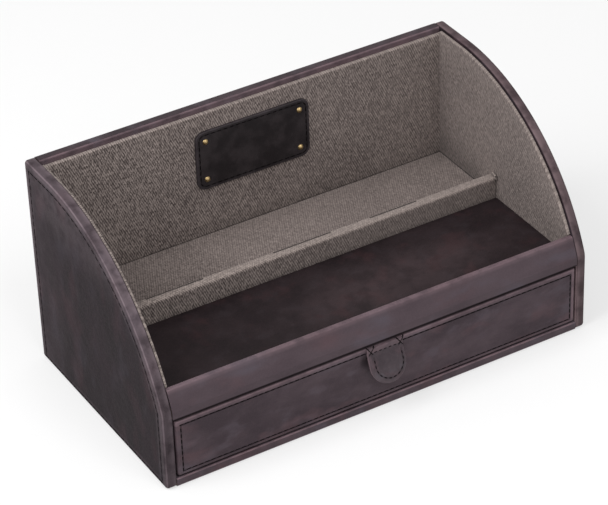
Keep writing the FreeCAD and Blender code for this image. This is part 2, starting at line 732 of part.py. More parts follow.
def drawer_box():
    """Drawer box: grooved sides, back, bottom let into the grooves, canvas inside."""
    depth = (BOX_FRONT, DRAWER_REAR)
    slot = rectangle(*depth, BOTTOM_LOW, BOTTOM_TOP)
    groove = f"({DRAWER_INNER} + groove_depth)"
    for hand, span, cut in (
        ("left", (f"-{DRAWER_SIDE}", f"-{DRAWER_INNER}"), (f"-{groove}", f"-{DRAWER_INNER}")),
        ("right", (DRAWER_INNER, DRAWER_SIDE), (DRAWER_INNER, groove)),
    ):
        wall = block(f"drawer_side_{hand}", span, depth, (DRAWER_LOW, WALL_TOP))
        pocket(wall, "x", *cut, slot)
        keep(wall, f"drawer_side_{hand}")
    back_front = f"({DRAWER_REAR} - wall_thick)"
    inner = both_ways(DRAWER_INNER)
    level = (BOTTOM_TOP, WALL_TOP)
    keep(block("drawer_back", inner, (back_front, DRAWER_REAR), level), "drawer_back")
    level = (BOTTOM_LOW, BOTTOM_TOP)
    keep(block("drawer_bottom", both_ways(groove), depth, level), "drawer_bottom")

    cloth_top = f"({BOTTOM_TOP} + floor_cloth)"
    level = (BOTTOM_TOP, cloth_top)
    keep(block("drawer_floor_cloth", inner, (BOX_FRONT, back_front), level), "drawer_floor_cloth")
    strip = new_body("drawer_wall_cloth")
    outer = rectangle(*inner, BOX_FRONT, back_front)
    hollow = rectangle(
        *both_ways(f"({DRAWER_INNER} - wall_cloth)"),
        f"({BOX_FRONT} + wall_cloth)",
        f"({back_front} - wall_cloth)",
    )
    pad(strip, "z", cloth_top, f"({WALL_TOP} - cloth_short)", outer, hollow)
    keep(strip, "drawer_wall_cloth")


def pull_tab():
    """Leather tab: a root sewn to the drawer front, and a flap that lifts on its fold."""
    half = "(tab_width / 2)"
    root = new_body("tab_root")
    across = (f"(tab_offset - {half})", f"(tab_offset + {half})")
    low = f"({FOLD_Z} + tab_thick / 2 + tab_gap)"
    face = f"({FRONT} - tab_thick)"
    pad(root, "y", face, FRONT, rectangle(*across, low, TAB_TOP))
    fillet(root, "tab_round", edges_at(root, y=face))
    keep(root, "tab_root")

    flap = new_body("pull_tab")
    thick = both_ways("(tab_thick / 2)")
    bend = f"-(tab_length - {half})"
    tongue = [(f"-{half}", bend, half), ("0", "-tab_length", half), (half, bend)]
    pad(flap, "y", *thick, [*tongue, (half, "0"), (f"-{half}", "0")])
    fillet(flap, "tab_round", edges_at(flap, lambda spot: spot.z < -CLOSE, y=thick[0]))
    bead = "(tab_thick / 2)"
    fold = [(bead, "0", bead), ("0", bead, bead), (f"-{bead}", "0", bead), ("0", f"-{bead}", bead)]
    pad(flap, "x", *both_ways(half), fold)
    flap.Placement.Rotation = FreeCAD.Rotation(FreeCAD.Vector(-1, 0, 0), value("tab_angle"))
    flap.setExpression("Placement.Rotation.Angle", formula("tab_angle"))
    for axis, place in (("x", "tab_offset"), ("y", FOLD_Y), ("z", FOLD_Z)):
        flap.setExpression(f"Placement.Base.{axis}", formula(place))
    keep(flap, "pull_tab")


# ------------------------------------------------------------------- main


def check():
    """Stop if any object failed or any sub-part is not a valid solid."""
    doc.recompute()
    for item in doc.Objects:
        if {"Invalid", "Error"} & set(item.State):
            raise RuntimeError(f"{item.Name} failed: {item.State}")
    for node in nodes:
        shape = node.Shape
        if shape.isNull() or not shape.isValid() or not shape.Solids:
            raise RuntimeError(f"{node.Label} is not a valid solid")


def main():
    """Build every sub-part, check them and write one STEP file for each."""
    for hand, side in (("left", -1), ("right", 1)):
        side_panel(hand, side)
        side_lining(hand, side)
    back_panel()
    back_lining()
    base_panel()
    front_rail()
    compartments()
    plaque()
    drawer_front()
    drawer_box()
    pull_tab()
    check()
    os.makedirs("parts", exist_ok=True)
    for node in nodes:
        node.Shape.exportStep(f"parts/{node.Label}.step")
        print(f"{node.Label}: {len(node.Shape.Solids)} solid, {node.Shape.Volume:.0f} mm3")


main()
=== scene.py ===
"""Looks of a leather valet box with a drawer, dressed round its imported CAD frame.

The case, its canvas compartments, the plaque, the drawer and its pull tab each have a
class. Lengths are metres; shader patterns read Object coordinates in millimetres.
"""

from __future__ import annotations

import json
import logging
import math
from collections.abc import Callable, Sequence
from dataclasses import dataclass, field
from enum import Enum
from functools import partial

import bpy
from mathutils import Matrix, Vector

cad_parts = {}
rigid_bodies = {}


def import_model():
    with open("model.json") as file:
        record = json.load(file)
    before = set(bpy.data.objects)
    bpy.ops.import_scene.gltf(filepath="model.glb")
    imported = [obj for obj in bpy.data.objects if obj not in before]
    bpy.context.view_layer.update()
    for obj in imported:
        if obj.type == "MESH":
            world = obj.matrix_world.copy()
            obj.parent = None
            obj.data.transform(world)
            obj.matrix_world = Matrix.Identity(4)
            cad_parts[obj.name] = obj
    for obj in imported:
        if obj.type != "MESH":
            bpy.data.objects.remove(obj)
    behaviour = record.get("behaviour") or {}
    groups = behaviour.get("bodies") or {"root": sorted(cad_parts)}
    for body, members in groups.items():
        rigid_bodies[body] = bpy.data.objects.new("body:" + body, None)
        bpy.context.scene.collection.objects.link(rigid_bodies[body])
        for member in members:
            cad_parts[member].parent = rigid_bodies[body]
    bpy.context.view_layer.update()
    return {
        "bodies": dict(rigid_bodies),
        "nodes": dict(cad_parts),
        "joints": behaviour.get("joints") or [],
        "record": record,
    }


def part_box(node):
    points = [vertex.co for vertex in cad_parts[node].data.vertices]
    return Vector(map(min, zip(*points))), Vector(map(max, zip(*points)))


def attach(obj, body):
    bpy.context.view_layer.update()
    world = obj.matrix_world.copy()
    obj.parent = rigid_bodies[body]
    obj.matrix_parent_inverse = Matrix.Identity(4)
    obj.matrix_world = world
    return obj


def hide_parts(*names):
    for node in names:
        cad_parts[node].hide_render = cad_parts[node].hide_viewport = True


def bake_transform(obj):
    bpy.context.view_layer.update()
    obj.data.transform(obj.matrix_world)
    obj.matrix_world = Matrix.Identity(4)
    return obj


log = logging.getLogger("valet_box")

MM = 0.001
RIGHT = Vector((1, 0, 0))
FRONT = Vector((0, -1, 0))
UP = Vector((0, 0, 1))
WHITE = (1.0, 1.0, 1.0)
Colour = tuple[float, float, float]
Range = tuple[float, float]
Piece = bpy.types.Object
Material = bpy.types.Material
Socket = bpy.types.NodeSocket
Tree = bpy.types.NodeTree


def shade(red: int, green: int, blue: int) -> Colour:
    """Turn an 8-bit display colour into the linear one that shaders take.

    Args:
        red: Red from 0 to 255.
        green: Green from 0 to 255.
        blue: Blue from 0 to 255.

    Returns:
        The linear colour.
    """

    def linear(part: int) -> float:
        """Undo the display curve for one channel."""
        share = part / 255
        return share / 12.92 if share <= 0.04045 else ((share + 0.055) / 1.055) ** 2.4

    return linear(red), linear(green), linear(blue)


# ------------------------------------------------------------- shader maths


def adds(operation: str) -> Callable[..., Signal]:
    """Make a method that adds one Math node to a signal's shader.

    Args:
        operation: Name of the Math operation.

    Returns:
        The method, which takes the operation's further inputs.
    """

    def method(signal: Signal, *others: Signal | float) -> Signal:
        """Add the node.

        Args:
            signal: The operation's first input.
            others: Its further inputs.

        Returns:
            The node's result.
        """
        inputs = dict(enumerate((signal, *others)))
        made = signal.shader.node("Math", {"operation": operation}, inputs)
        return Signal(signal.shader, made.outputs[0])

    return method


class Signal:
    """A number socket that adds Math nodes when it is used in an expression."""

    __add__ = __radd__ = adds("ADD")
    __sub__ = adds("SUBTRACT")
    __mul__ = __rmul__ = adds("MULTIPLY")
    __truediv__ = adds("DIVIDE")
    __abs__ = adds("ABSOLUTE")
    lower_of = adds("MINIMUM")
    upper_of = adds("MAXIMUM")
    wave = adds("COSINE")
    whole = adds("FLOOR")
    square_root = adds("SQRT")

    def __init__(self, shader: Shader, socket: Socket) -> None:
        """Wrap a socket of a shader under construction."""
        self.shader = shader
        self.socket = socket

    def __rsub__(self, other: float) -> Signal:
        """Difference from a plain number."""
        return self * -1.0 + other

    def root(self) -> Signal:
        """Square root, of nothing below zero."""
        return self.upper_of(0.0).square_root()

    def diagonal(self, other: Signal) -> Signal:
        """Length of the diagonal that this length and another one span."""
        return (self * self + other * other).root()

    def step(self, low: float, high: float) -> Signal:
        """Rise smoothly from 0 at one value to 1 at another.

        Args:
            low: Value that gives 0.
            high: Value that gives 1. It may be the smaller one, for a fall.

        Returns:
            The eased share between 0 and 1.
        """
        rises = low < high
        ends = {1: min(low, high), 2: max(low, high), 3: float(not rises), 4: float(rises)}
        made = self.shader.node("MapRange", {"interpolation_type": "SMOOTHSTEP"}, {0: self, **ends})
        return Signal(self.shader, made.outputs[0])


Input = Signal | Socket | float | Sequence[float]


class Shader:
    """A node material under construction, with its Principled shader ready."""

    def __init__(self, name: str, **surface: float | Colour) -> None:
        """Make the material.

        Args:
            name: The material's name.
            surface: Values of the Principled shader's own sockets, with _ for spaces.
        """
        self.material = bpy.data.materials.new(name)
        self.material.use_nodes = True
        self.tree = self.material.node_tree
        self.surface = next(n for n in self.tree.nodes if n.type == "BSDF_PRINCIPLED")
        for key, number in surface.items():
            self.feed(self.surface.inputs[key.replace("_", " ")], number)

    def node(
        self,
        kind: str,
        settings: dict[str, object] | None = None,
        inputs: dict[int | str, Input] | None = None,
    ) -> bpy.types.Node:
        """Add a node, set it up and feed its sockets.

        Args:
            kind: The node's type without its ShaderNode prefix.
            settings: Attributes that are set before the sockets are used.
            inputs: Values or links by socket name or number.

        Returns:
            The node.
        """
        made = self.tree.nodes.new(f"ShaderNode{kind}")
        for key, choice in (settings or {}).items():
            setattr(made, key, choice)
        for key, source in (inputs or {}).items():
            self.feed(made.inputs[key], source)
        return made

    def feed(self, socket: Socket, source: Input) -> None:
        """Link a socket to a signal or another socket, or give it a value.

        Args:
            socket: The socket.
            source: The signal, the other socket or the value.
        """
        if isinstance(source, Signal):
            source = source.socket
        if isinstance(source, Socket):
            self.tree.links.new(source, socket)
            return
        wide = isinstance(source, tuple) and socket.type == "RGBA"
        socket.default_value = (*source, 1.0) if wide else source

    def split(self, vector: Socket) -> tuple[Signal, Signal, Signal]:
        """The three parts of a vector."""
        parts = self.node("SeparateXYZ", inputs={0: vector}).outputs
        return Signal(self, parts[0]), Signal(self, parts[1]), Signal(self, parts[2])

    def place(self) -> Socket:
        """Object coordinates in millimetres."""
        inputs = {0: self.node("TexCoord").outputs["Object"], "Scale": 1 / MM}
        return self.node("VectorMath", {"operation": "SCALE"}, inputs).outputs[0]

    def spot(self) -> tuple[Signal, Signal, Signal]:
        """The three parts of the place on the surface, in millimetres."""
        return self.split(self.place())

    def facing(self) -> tuple[Signal, Signal, Signal]:
        """The three parts of the surface's smooth normal."""
        return self.split(self.node("NewGeometry").outputs["Normal"])

    def along(self, direction: Sequence[float]) -> Signal:
        """How far the surface lies along a direction, in millimetres."""
        dot = self.node("VectorMath", {"operation": "DOT_PRODUCT"}, {0: self.place(), 1: direction})
        return Signal(self, dot.outputs["Value"])

    def noise(
        self,
        size: float,
        seed: float,
        detail: float = 2.0,
        stretch: Sequence[float] = (1.0, 1.0, 1.0),
    ) -> Signal:
        """Cloudy noise.

        Args:
            size: Width of one cloud in millimetres.
            seed: Picks another part of the noise.
            detail: Number of finer layers.
            stretch: How many times longer the clouds are along X, Y and Z.

        Returns:
            The noise, about 0 to 1.
        """
        scale = [1 / (size * part) for part in stretch]
        moved = {"Vector": self.place(), "Location": (seed, seed, seed), "Scale": scale}
        mapped = self.node("Mapping", inputs=moved).outputs[0]
        made = self.node("TexNoise", inputs={"Vector": mapped, "Scale": 1.0, "Detail": detail})
        return Signal(self, made.outputs[0])

    def cells(self, size: float) -> Signal:
        """Distance to the middles of cells of a size in millimetres."""
        made = self.node("TexVoronoi", inputs={"Vector": self.place(), "Scale": 1 / size})
        return Signal(self, made.outputs["Distance"])

    def speckle(self, *parts: Signal) -> Signal:
        """A random number for each pair of whole numbers."""
        joined = self.node("CombineXYZ", inputs=dict(enumerate(parts))).outputs[0]
        return Signal(self, self.node("TexWhiteNoise", inputs={"Vector": joined}).outputs["Value"])

    def lay(self, colour: Input, *layers: tuple[Input, Colour]) -> Input:
        """Lay colours over a colour, one after the other.

        Args:
            colour: The lowest colour.
            layers: Each further colour's mask, from 0 to 1, and the colour.

        Returns:
            The blended colour.
        """
        for mask, layer in layers:
            made = self.node("Mix", {"data_type": "RGBA"})
            below, above = (s for s in made.inputs if s.type == "RGBA")
            for socket, source in ((made.inputs[0], mask), (below, colour), (above, layer)):
                self.feed(socket, source)
            colour = next(s for s in made.outputs if s.type == "RGBA")
        return colour

    def finish(
        self, colour: Input, roughness: Input, *reliefs: tuple[Signal, float]
    ) -> Material:
        """Feed the Principled shader.

        Args:
            colour: Base colour.
            roughness: Roughness.
            reliefs: Heights from 0 to 1 with their depth in millimetres, coarsest first.

        Returns:
            The finished material.
        """
        self.feed(self.surface.inputs["Base Color"], colour)
        self.feed(self.surface.inputs["Roughness"], roughness)
        normal: dict[int | str, Input] = {}
        for height, depth in reliefs:
            links = {"Height": height, "Distance": depth * MM, "Strength": 1.0, **normal}
            normal = {"Normal": self.node("Bump", inputs=links).outputs[0]}
        for key, bumped in normal.items():
            self.feed(self.surface.inputs[key], bumped)
        return self.material


# ------------------------------------------------------------------ finishes

Mask = Callable[[Shader], Signal]


@dataclass(frozen=True)
class Leather:
    """Waxed pull-up leather: clouded brown, paler and redder where rubbed and where light is
    painted.

    Its broad, patchy, smeared and ruddy layers each have a share of the clouds' width, a
    seed and a number of finer layers.
    """

    name: str
    deep: Colour = shade(56, 47, 52)
    plain: Colour = shade(76, 65, 70)
    cool: Colour = shade(80, 74, 82)
    warm: Colour = shade(87, 67, 71)
    # Rubbed leather; the painted light of some wear masks takes this colour too.
    rubbed: Colour = shade(128, 107, 113)
    # Seam lines, partly painted shade in their grooves, and painted shade in gaps and beside the
    # tab.
    sewn: Colour = shade(18, 12, 15)
    gloss: float = 0.08
    clouds: float = 34.0
    streaks: tuple[float, float, float] = (1.0, 1.0, 1.0)
    rub: float = 0.75
    seam_strength: float = 0.35
    seed: float = 0.0
    layers: tuple[tuple[float, float, float], ...] = (
        (1.0, 3.1, 4.0),
        (0.42, 17.7, 3.0),
        (0.16, 41.3, 3.0),
        (0.55, 63.9, 3.0),
    )

    def build(self, wear: Mask, seam: Mask | None = None) -> Material:
        """Make the material.

        Args:
            wear: Where edges rub, and where light is painted on, from 0 to 1.
            seam: Where sewing pulls the leather in and wax darkens it, partly painted shade in
                the seam's groove, and painted shade in gaps between parts and beside the pull tab;
                from 0 to 1, more for full strength.

        Returns:
            The material.
        """
        shader = Shader(self.name, Specular_IOR_Level=self.gloss)
        broad, patchy, smeared, ruddy = (
            shader.noise(self.clouds * share, self.seed + seed, detail, self.streaks)
            for share, seed, detail in self.layers
        )
        grainy = shader.noise(1.1, self.seed + 5.0)
        tone = (broad * 0.6 + patchy * 0.25 + smeared * 0.15).step(0.36, 0.66)
        patch = shader.noise(9.0, self.seed + 29.0, 3.0).step(0.3, 0.62)
        # Rubbed edges, and painted light where the wear mask holds it.
        rubbed = wear(shader) * (patch * 0.6 + 0.4) * self.rub
        colour = shader.lay(
            self.deep,
            (tone, self.plain),
            (patchy.step(0.5, 0.72) * 0.6, self.cool),
            (ruddy.step(0.52, 0.72) * 0.5, self.warm),
            (grainy.step(0.35, 0.75) * 0.04, self.rubbed),
            (rubbed, self.rubbed),
        )
        # Seam lines, partly painted shade in their grooves, and painted shade in gaps and beside
        # the tab.
        if seam is not None:
            colour = shader.lay(colour, (seam(shader) * self.seam_strength, self.sewn))
        roughness = 0.5 + (broad - 0.5) * 0.2 + (smeared - 0.5) * 0.1 - rubbed * 0.08
        pores = shader.cells(0.85).step(0.0, 0.5)
        creases = shader.noise(5.5, self.seed + 71.0, 3.0)
        return shader.finish(colour, roughness, (creases, 0.2), (pores, 0.03), (grainy, 0.04))


@dataclass(frozen=True)
class Canvas:
    """Plain-woven canvas whose yarns run along two directions of the piece.

    Raised crossings form a chequer, a little joined up along one of its diagonals. The
    weave's contrast is given for the left and the right end of the box.
    """

    name: str
    across: Vector
    along: Vector
    warp: float = 0.795
    weft: float = 1.66
    valley: Colour = shade(66, 57, 55)
    thread: Colour = shade(152, 139, 134)
    fleck: Colour = shade(174, 161, 154)
    # Colour of the shade painted on the cloth.
    painted_shade: Colour = shade(32, 26, 25)
    contrast: tuple[float, float] = (1.0, 1.0)
    ends: tuple[float, float] = (-140.0, 100.0)
    seed: float = 0.0

    def build(self, shadow: Mask | None = None, rubbed: Mask | None = None) -> Material:
        """Make the material.

        Args:
            shadow: Where shade is painted on the cloth, from 0 to 1.
            rubbed: Where the nap is worn pale, from 0 to 1.

        Returns:
            The material.
        """
        shader = Shader(self.name, Specular_IOR_Level=0.15, Sheen_Weight=0.1, Sheen_Roughness=0.6)
        sway = (shader.noise(16.0, self.seed + 2.0) - 0.5) * 0.5
        column = (shader.along(self.across) + sway) / self.warp
        row = (shader.along(self.along) + sway) / self.weft
        chequer = (column * math.pi).wave() * (row * math.pi).wave()
        twill = ((column + row) * math.pi).wave()
        cloth = 0.5 + chequer * 0.3 + twill * 0.13
        first, last = self.contrast
        contrast = shader.along(RIGHT).step(*self.ends) * (last - first) + first
        tint = shader.speckle(column.whole(), row.whole())
        slub = shader.noise(1.7, self.seed + 9.0)
        faded = shader.noise(45.0, self.seed + 31.0, 3.0)
        woven = (cloth - 0.5) * 0.8 + (tint - 0.5) * 0.5 + (slub - 0.5) * 0.85
        light = 0.4 + woven * contrast + (faded - 0.5) * 0.25
        flecks = (tint * cloth).step(0.4, 0.85) * contrast * 0.5
        layers = [(light.step(-0.15, 1.0), self.thread), (flecks, self.fleck)]
        # Worn pale nap, then painted shade.
        for mask, layer in ((rubbed, self.fleck), (shadow, self.painted_shade)):
            if mask is not None:
                layers.append((mask(shader), layer))
        colour = shader.lay(self.valley, *layers)
        return shader.finish(colour, 0.86, (faded, 0.3), (cloth, 0.18))


@dataclass(frozen=True)
class PlainLeather:
    """Smooth dyed leather of the plaque."""

    name: str
    dark: Colour = shade(25, 20, 22)
    light: Colour = shade(44, 38, 40)
    pale: Colour = shade(76, 69, 74)
    # Seam line, partly painted shade in its groove.
    sewn: Colour = shade(8, 6, 8)

    def build(self, wear: Mask, seam: Mask) -> Material:
        """Make the material.

        Args:
            wear: Where the leather is worn pale, from 0 to 1.
            seam: Where sewing darkens it, partly painted shade in the seam's groove, from 0 to 1.

        Returns:
            The material.
        """
        shader = Shader(self.name, Specular_IOR_Level=0.3)
        clouds = shader.noise(9.0, 4.0, 4.0)
        pores = shader.cells(0.7).step(0.0, 0.55)
        colour = shader.lay(
            self.dark,
            (clouds.step(0.35, 0.7), self.light),
            (wear(shader) * (clouds * 0.8 + 0.2), self.pale),
            (seam(shader) * 0.35, self.sewn),
        )
        return shader.finish(colour, 0.42 + clouds * 0.2, (clouds, 0.12), (pores, 0.05))


@dataclass(frozen=True)
class Brass:
    """Satin brass, tarnished towards the rim of each pin."""

    name: str
    bright: Colour = shade(170, 147, 106)
    dull: Colour = shade(66, 51, 33)

    def build(self) -> Material:
        """Make the material.

        Returns:
            The material.
        """
        shader = Shader(self.name, Metallic=1.0)
        tarnish = shader.noise(1.6, 8.0, 3.0)
        rim = 1.0 - abs(shader.facing()[1])
        dull = (rim * 0.6 + tarnish * 0.5).step(0.3, 0.95)
        colour = shader.lay(self.bright, (dull, self.dull))
        return shader.finish(colour, 0.3 + tarnish * 0.2, (tarnish, 0.03))


@dataclass(frozen=True)
class Fibreboard:
    """Pressed board with fine fibres."""

    name: str
    dark: Colour = shade(118, 92, 68)
    light: Colour = shade(168, 138, 108)

    def build(self) -> Material:
        """Make the material.

        Returns:
            The material.
        """
        shader = Shader(self.name, Specular_IOR_Level=0.3)
        fibres = shader.noise(0.9, 3.0, 3.0, (3.0, 3.0, 1.0))
        clouds = shader.noise(18.0, 12.0, 3.0)
        tone = (fibres * 0.7 + clouds * 0.3).step(0.3, 0.7)
        colour = shader.lay(self.dark, (tone, self.light))
        return shader.finish(colour, 0.75, (fibres, 0.06))


@dataclass(frozen=True)
class Felt:
    """Short felted fibres."""

    name: str
    dark: Colour = shade(38, 34, 36)
    light: Colour = shade(74, 68, 70)

    def build(self) -> Material:
        """Make the material.

        Returns:
            The material.
        """
        shader = Shader(self.name, Specular_IOR_Level=0.1, Sheen_Weight=0.5, Sheen_Roughness=0.5)
        fibres = shader.noise(0.8, 6.0, 4.0, (2.4, 1.0, 1.0))
        tufts = shader.noise(3.5, 21.0, 3.0)
        tone = (fibres * 0.6 + tufts * 0.4).step(0.32, 0.68)
        colour = shader.lay(self.dark, (tone, self.light))
        return shader.finish(colour, 0.95, (tufts, 0.25), (fibres, 0.2))


@dataclass(frozen=True)
class Thread:
    """Waxed sewing thread, twisted from plies."""

    name: str
    dark: Colour = shade(7, 5, 6)
    light: Colour = shade(22, 17, 19)

    def build(self) -> Material:
        """Make the material.

        Returns:
            The material.
        """
        shader = Shader(self.name, Specular_IOR_Level=0.05)
        plies = shader.noise(0.35, 2.0, 1.0, (1.0, 2.5, 1.0))
        colour = shader.lay(self.dark, (plies.step(0.35, 0.65), self.light))
        return shader.finish(colour, 0.6, (plies, 0.08))


class Finish(Enum):
    """Names of two of the record's material slots."""

    LEATHER = "leather"
    CANVAS = "lining_canvas"


# ------------------------------------------------------------ mesh by hand


def deselect() -> None:
    """Leave edit mode and select nothing."""
    if bpy.context.object is not None and bpy.context.object.mode != "OBJECT":
        bpy.ops.object.mode_set(mode="OBJECT")
    bpy.ops.object.select_all(action="DESELECT")


def activate(piece: Piece, *others: Piece) -> None:
    """Select a piece, with others if they are given, and make it the active one.

    Args:
        piece: The piece.
        others: Further pieces to select.
    """
    deselect()
    for chosen in (piece, *others):
        chosen.select_set(True)
    bpy.context.view_layer.objects.active = piece


def apply_place() -> None:
    """Put the selected pieces' place, turn and size into their meshes."""
    bpy.ops.object.transform_apply(location=True, rotation=True, scale=True)


def choose(
    piece: Piece,
    faces: Callable[[Vector, Vector], bool] | None = None,
    edges: Callable[[Vector, Vector], bool] | None = None,
) -> None:
    """Select faces or edges by place, or everything, and stay in edit mode.

    Args:
        piece: The mesh object.
        faces: Test of a face's centre and normal.
        edges: Test of an edge's two ends.
    """
    activate(piece)
    bpy.ops.object.mode_set(mode="EDIT")
    bpy.ops.mesh.select_mode(type="EDGE" if edges else "FACE")
    bpy.ops.mesh.select_all(action="DESELECT" if faces or edges else "SELECT")
    bpy.ops.object.mode_set(mode="OBJECT")
    mesh = piece.data
    if faces:
        for face in mesh.polygons:
            face.select = faces(face.center, face.normal)
    elif edges:
        for edge in mesh.edges:
            edge.select = edges(*(mesh.vertices[i].co for i in edge.vertices))
    bpy.ops.object.mode_set(mode="EDIT")


def modify(piece: Piece, kind: str, **settings: object) -> None:
    """Add a modifier to a piece and apply it.

    Args:
        piece: The mesh object.
        kind: The modifier's type.
        settings: Attributes of the modifier.
    """
    activate(piece)
    modifier = piece.modifiers.new(kind.lower(), kind)
    for key, choice in settings.items():
        setattr(modifier, key, choice)
    bpy.ops.object.modifier_apply(modifier=modifier.name)


def soften(piece: Piece, width: float, segments: int) -> None:
    """Round a piece's sharp edges.

    Args:
        piece: The mesh object.
        width: Width of the rounding.
        segments: Number of faces across it.
    """
    limits = {"limit_method": "ANGLE", "angle_limit": math.radians(50)}
    modify(piece, "BEVEL", width=width, segments=segments, **limits)


def settle(piece: Piece, name: str, smooth: float | None = None) -> Piece:
    """Put a piece's place into its mesh, point its faces outwards and name it.

    Args:
        piece: The mesh object.
        name: The piece's name.
        smooth: Angle in degrees up to which edges are shaded smooth. None leaves them.

    Returns:
        The piece.
    """
    activate(piece)
    apply_place()
    bpy.ops.object.mode_set(mode="EDIT")
    bpy.ops.mesh.select_all(action="SELECT")
    bpy.ops.mesh.remove_doubles(threshold=0.01 * MM)
    bpy.ops.mesh.normals_make_consistent(inside=False)
    bpy.ops.object.mode_set(mode="OBJECT")
    if smooth is not None:
        bpy.ops.object.shade_smooth_by_angle(angle=math.radians(smooth))
    piece.name = name
    piece.data.name = name
    deselect()
    return piece


def dress(piece: Piece, material: Material) -> None:
    """Give a piece one material all over, and report it.

    Args:
        piece: The mesh object.
        material: Its finish.
    """
    piece.data.materials.clear()
    piece.data.materials.append(material)
    log.info("%s: %s", piece.name, material.name)


def turned(ahead: Vector, side: Vector, up: Vector, place: Vector) -> Matrix:
    """The matrix that stands a shape at a place.

    Args:
        ahead: Direction that the shape's X gets.
        side: Direction that its Y gets.
        up: Direction that its Z gets.
        place: Where its origin goes.

    Returns:
        The matrix.
    """
    return Matrix.Translation(place) @ Matrix((ahead, side, up)).transposed().to_4x4()


def slanted(degrees: float) -> tuple[float, float]:
    """Cosine and sine of an angle in degrees."""
    return math.cos(math.radians(degrees)), math.sin(math.radians(degrees))


def arc(
    centre: Vector, radius: float, axes: tuple[Vector, Vector], start: float, end: float
) -> list[Vector]:
    """Points round part of a circle.

    Args:
        centre: The circle's centre.
        radius: Its radius.
        axes: Two directions that span its plane.
        start: First angle in degrees, from the first direction to the second.
        end: Last angle in degrees.

    Returns:
        The points, no more than two degrees apart.
    """
    count = max(2, round(abs(end - start) / 2) + 1)
    turns = [slanted(start + (end - start) * i / (count - 1)) for i in range(count)]
    return [centre + radius * (cosine * axes[0] + sine * axes[1]) for cosine, sine in turns]


@dataclass(frozen=True)
class Seam:
    """A line of sewing: separate stitches laid along a path on a surface.

    Each end of a stitch has two rings, with how far they reach as a share of its length,
    and how deep they sink and how wide they are as shares of its width.
    """

    path: Sequence[Vector]
    outward: Vector
    pitch: float = 5.25 * MM
    length: float = 3.6 * MM
    width: float = 0.95 * MM
    rise: float = 0.14 * MM
    closed: bool = False
    end_rings: tuple[tuple[float, float, float], ...] = ((0.16, 0.12, 0.9), (0.09, 0.32, 0.62))

    def places(self) -> list[Matrix]:
        """Where each stitch sits.

        Returns:
            One matrix per stitch, with X along the path and Z outwards.
        """
        spots = list(self.path) + ([self.path[0]] if self.closed else [])
        runs = [(a, b, (b - a).length) for a, b in zip(spots, spots[1:]) if (b - a).length > 1e-7]
        total = sum(size for _, _, size in runs)
        count = max(1, round(total / self.pitch))
        found = []
        for index in range(count):
            reach = (index + 0.5) * total / count
            for begin, finish, size in runs:
                if reach <= size:
                    break
                reach -= size
            ahead = (finish - begin).normalized()
            side = self.outward.cross(ahead).normalized()
            found.append(turned(ahead, side, ahead.cross(side), begin + ahead * reach))
        return found

    def stitch(self) -> Piece:
        """Model one stitch at the origin: a pulled loop of thread with both ends sunk.

        Returns:
            The stitch.
        """
        deselect()
        quarter = (0, math.pi / 2, 0)
        bpy.ops.mesh.primitive_cylinder_add(
            vertices=8, radius=self.width / 2, depth=self.length / 2, rotation=quarter
        )
        loop = bpy.context.object
        apply_place()
        for end in (-1, 1):
            choose(loop, faces=lambda middle, normal, end=end: normal.x * end > 0.9)
            for reach, sink, size in self.end_rings:
                drop = (end * self.length * reach, 0, -self.width * sink)
                bpy.ops.mesh.extrude_region_move(TRANSFORM_OT_translate={"value": drop})
                bpy.ops.transform.resize(value=(1, size, size))
            bpy.ops.object.mode_set(mode="OBJECT")
        activate(loop)
        bpy.ops.transform.resize(value=(1, 1, 0.8))
        bpy.ops.transform.translate(value=(0, 0, self.rise - self.width * 0.4))
        apply_place()
        bpy.ops.object.shade_smooth()
        return loop

    def sew(
        self, name: str, body: str, material: Material, tacks: Sequence[Matrix] = ()
    ) -> None:
        """Lay the stitches and join them into one piece.

        Args:
            name: The piece's name.
            body: The CAD body that the seam rides on.
            material: Finish of the thread.
            tacks: Places of further stitches off the line.
        """
        first = self.stitch()
        loops = []
        for place in [*self.places(), *tacks]:
            loop = first.copy()
            loop.data = first.data.copy()
            loop.data.transform(place)
            bpy.context.scene.collection.objects.link(loop)
            loops.append(loop)
        bpy.data.objects.remove(first)
        activate(*loops)
        bpy.ops.object.join()
        piece = settle(loops[0], name)
        dress(piece, material)
        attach(piece, body)
        log.info("%s: %d stitches", name, len(loops))


# ------------------------------------------------------------- the valet box


@dataclass(frozen=True)
class Hand:
    """One side of the case, and how its panel's outer arris is rubbed.

    The rubbing has a strength at the arris, a share that is lost near the ground and a
    colour, which the panel's painted light takes too.
    """

    name: str
    side: int
    number: int
    ridge: float
    fade: float
    rubbed: Colour


HANDS = (
    Hand("left", -1, 0, ridge=0.85, fade=0.4, rubbed=shade(134, 120, 126)),
    Hand("right", 1, 1, ridge=0.3, fade=0.0, rubbed=shade(140, 120, 123)),
)


@dataclass(frozen=True)
class Case:
    """Sizes of the case that looks depend on, and the frame that holds it."""

    nodes: dict[str, Piece]
    arch_middle: Vector = field(default_factory=lambda: Vector((0, 50.5, 5.5)) * MM)
    arch_radius: float = 140.0 * MM

    def box(self, node: str, unit: float = 1.0) -> tuple[Vector, Vector]:
        """Lowest and highest corner of a CAD node, in metres or in a given unit."""
        low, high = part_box(node)
        return low / unit, high / unit

    def clothe(self, material: Material, *names: str) -> None:
        """Give CAD nodes a material."""
        for name in names:
            dress(self.nodes[name], material)


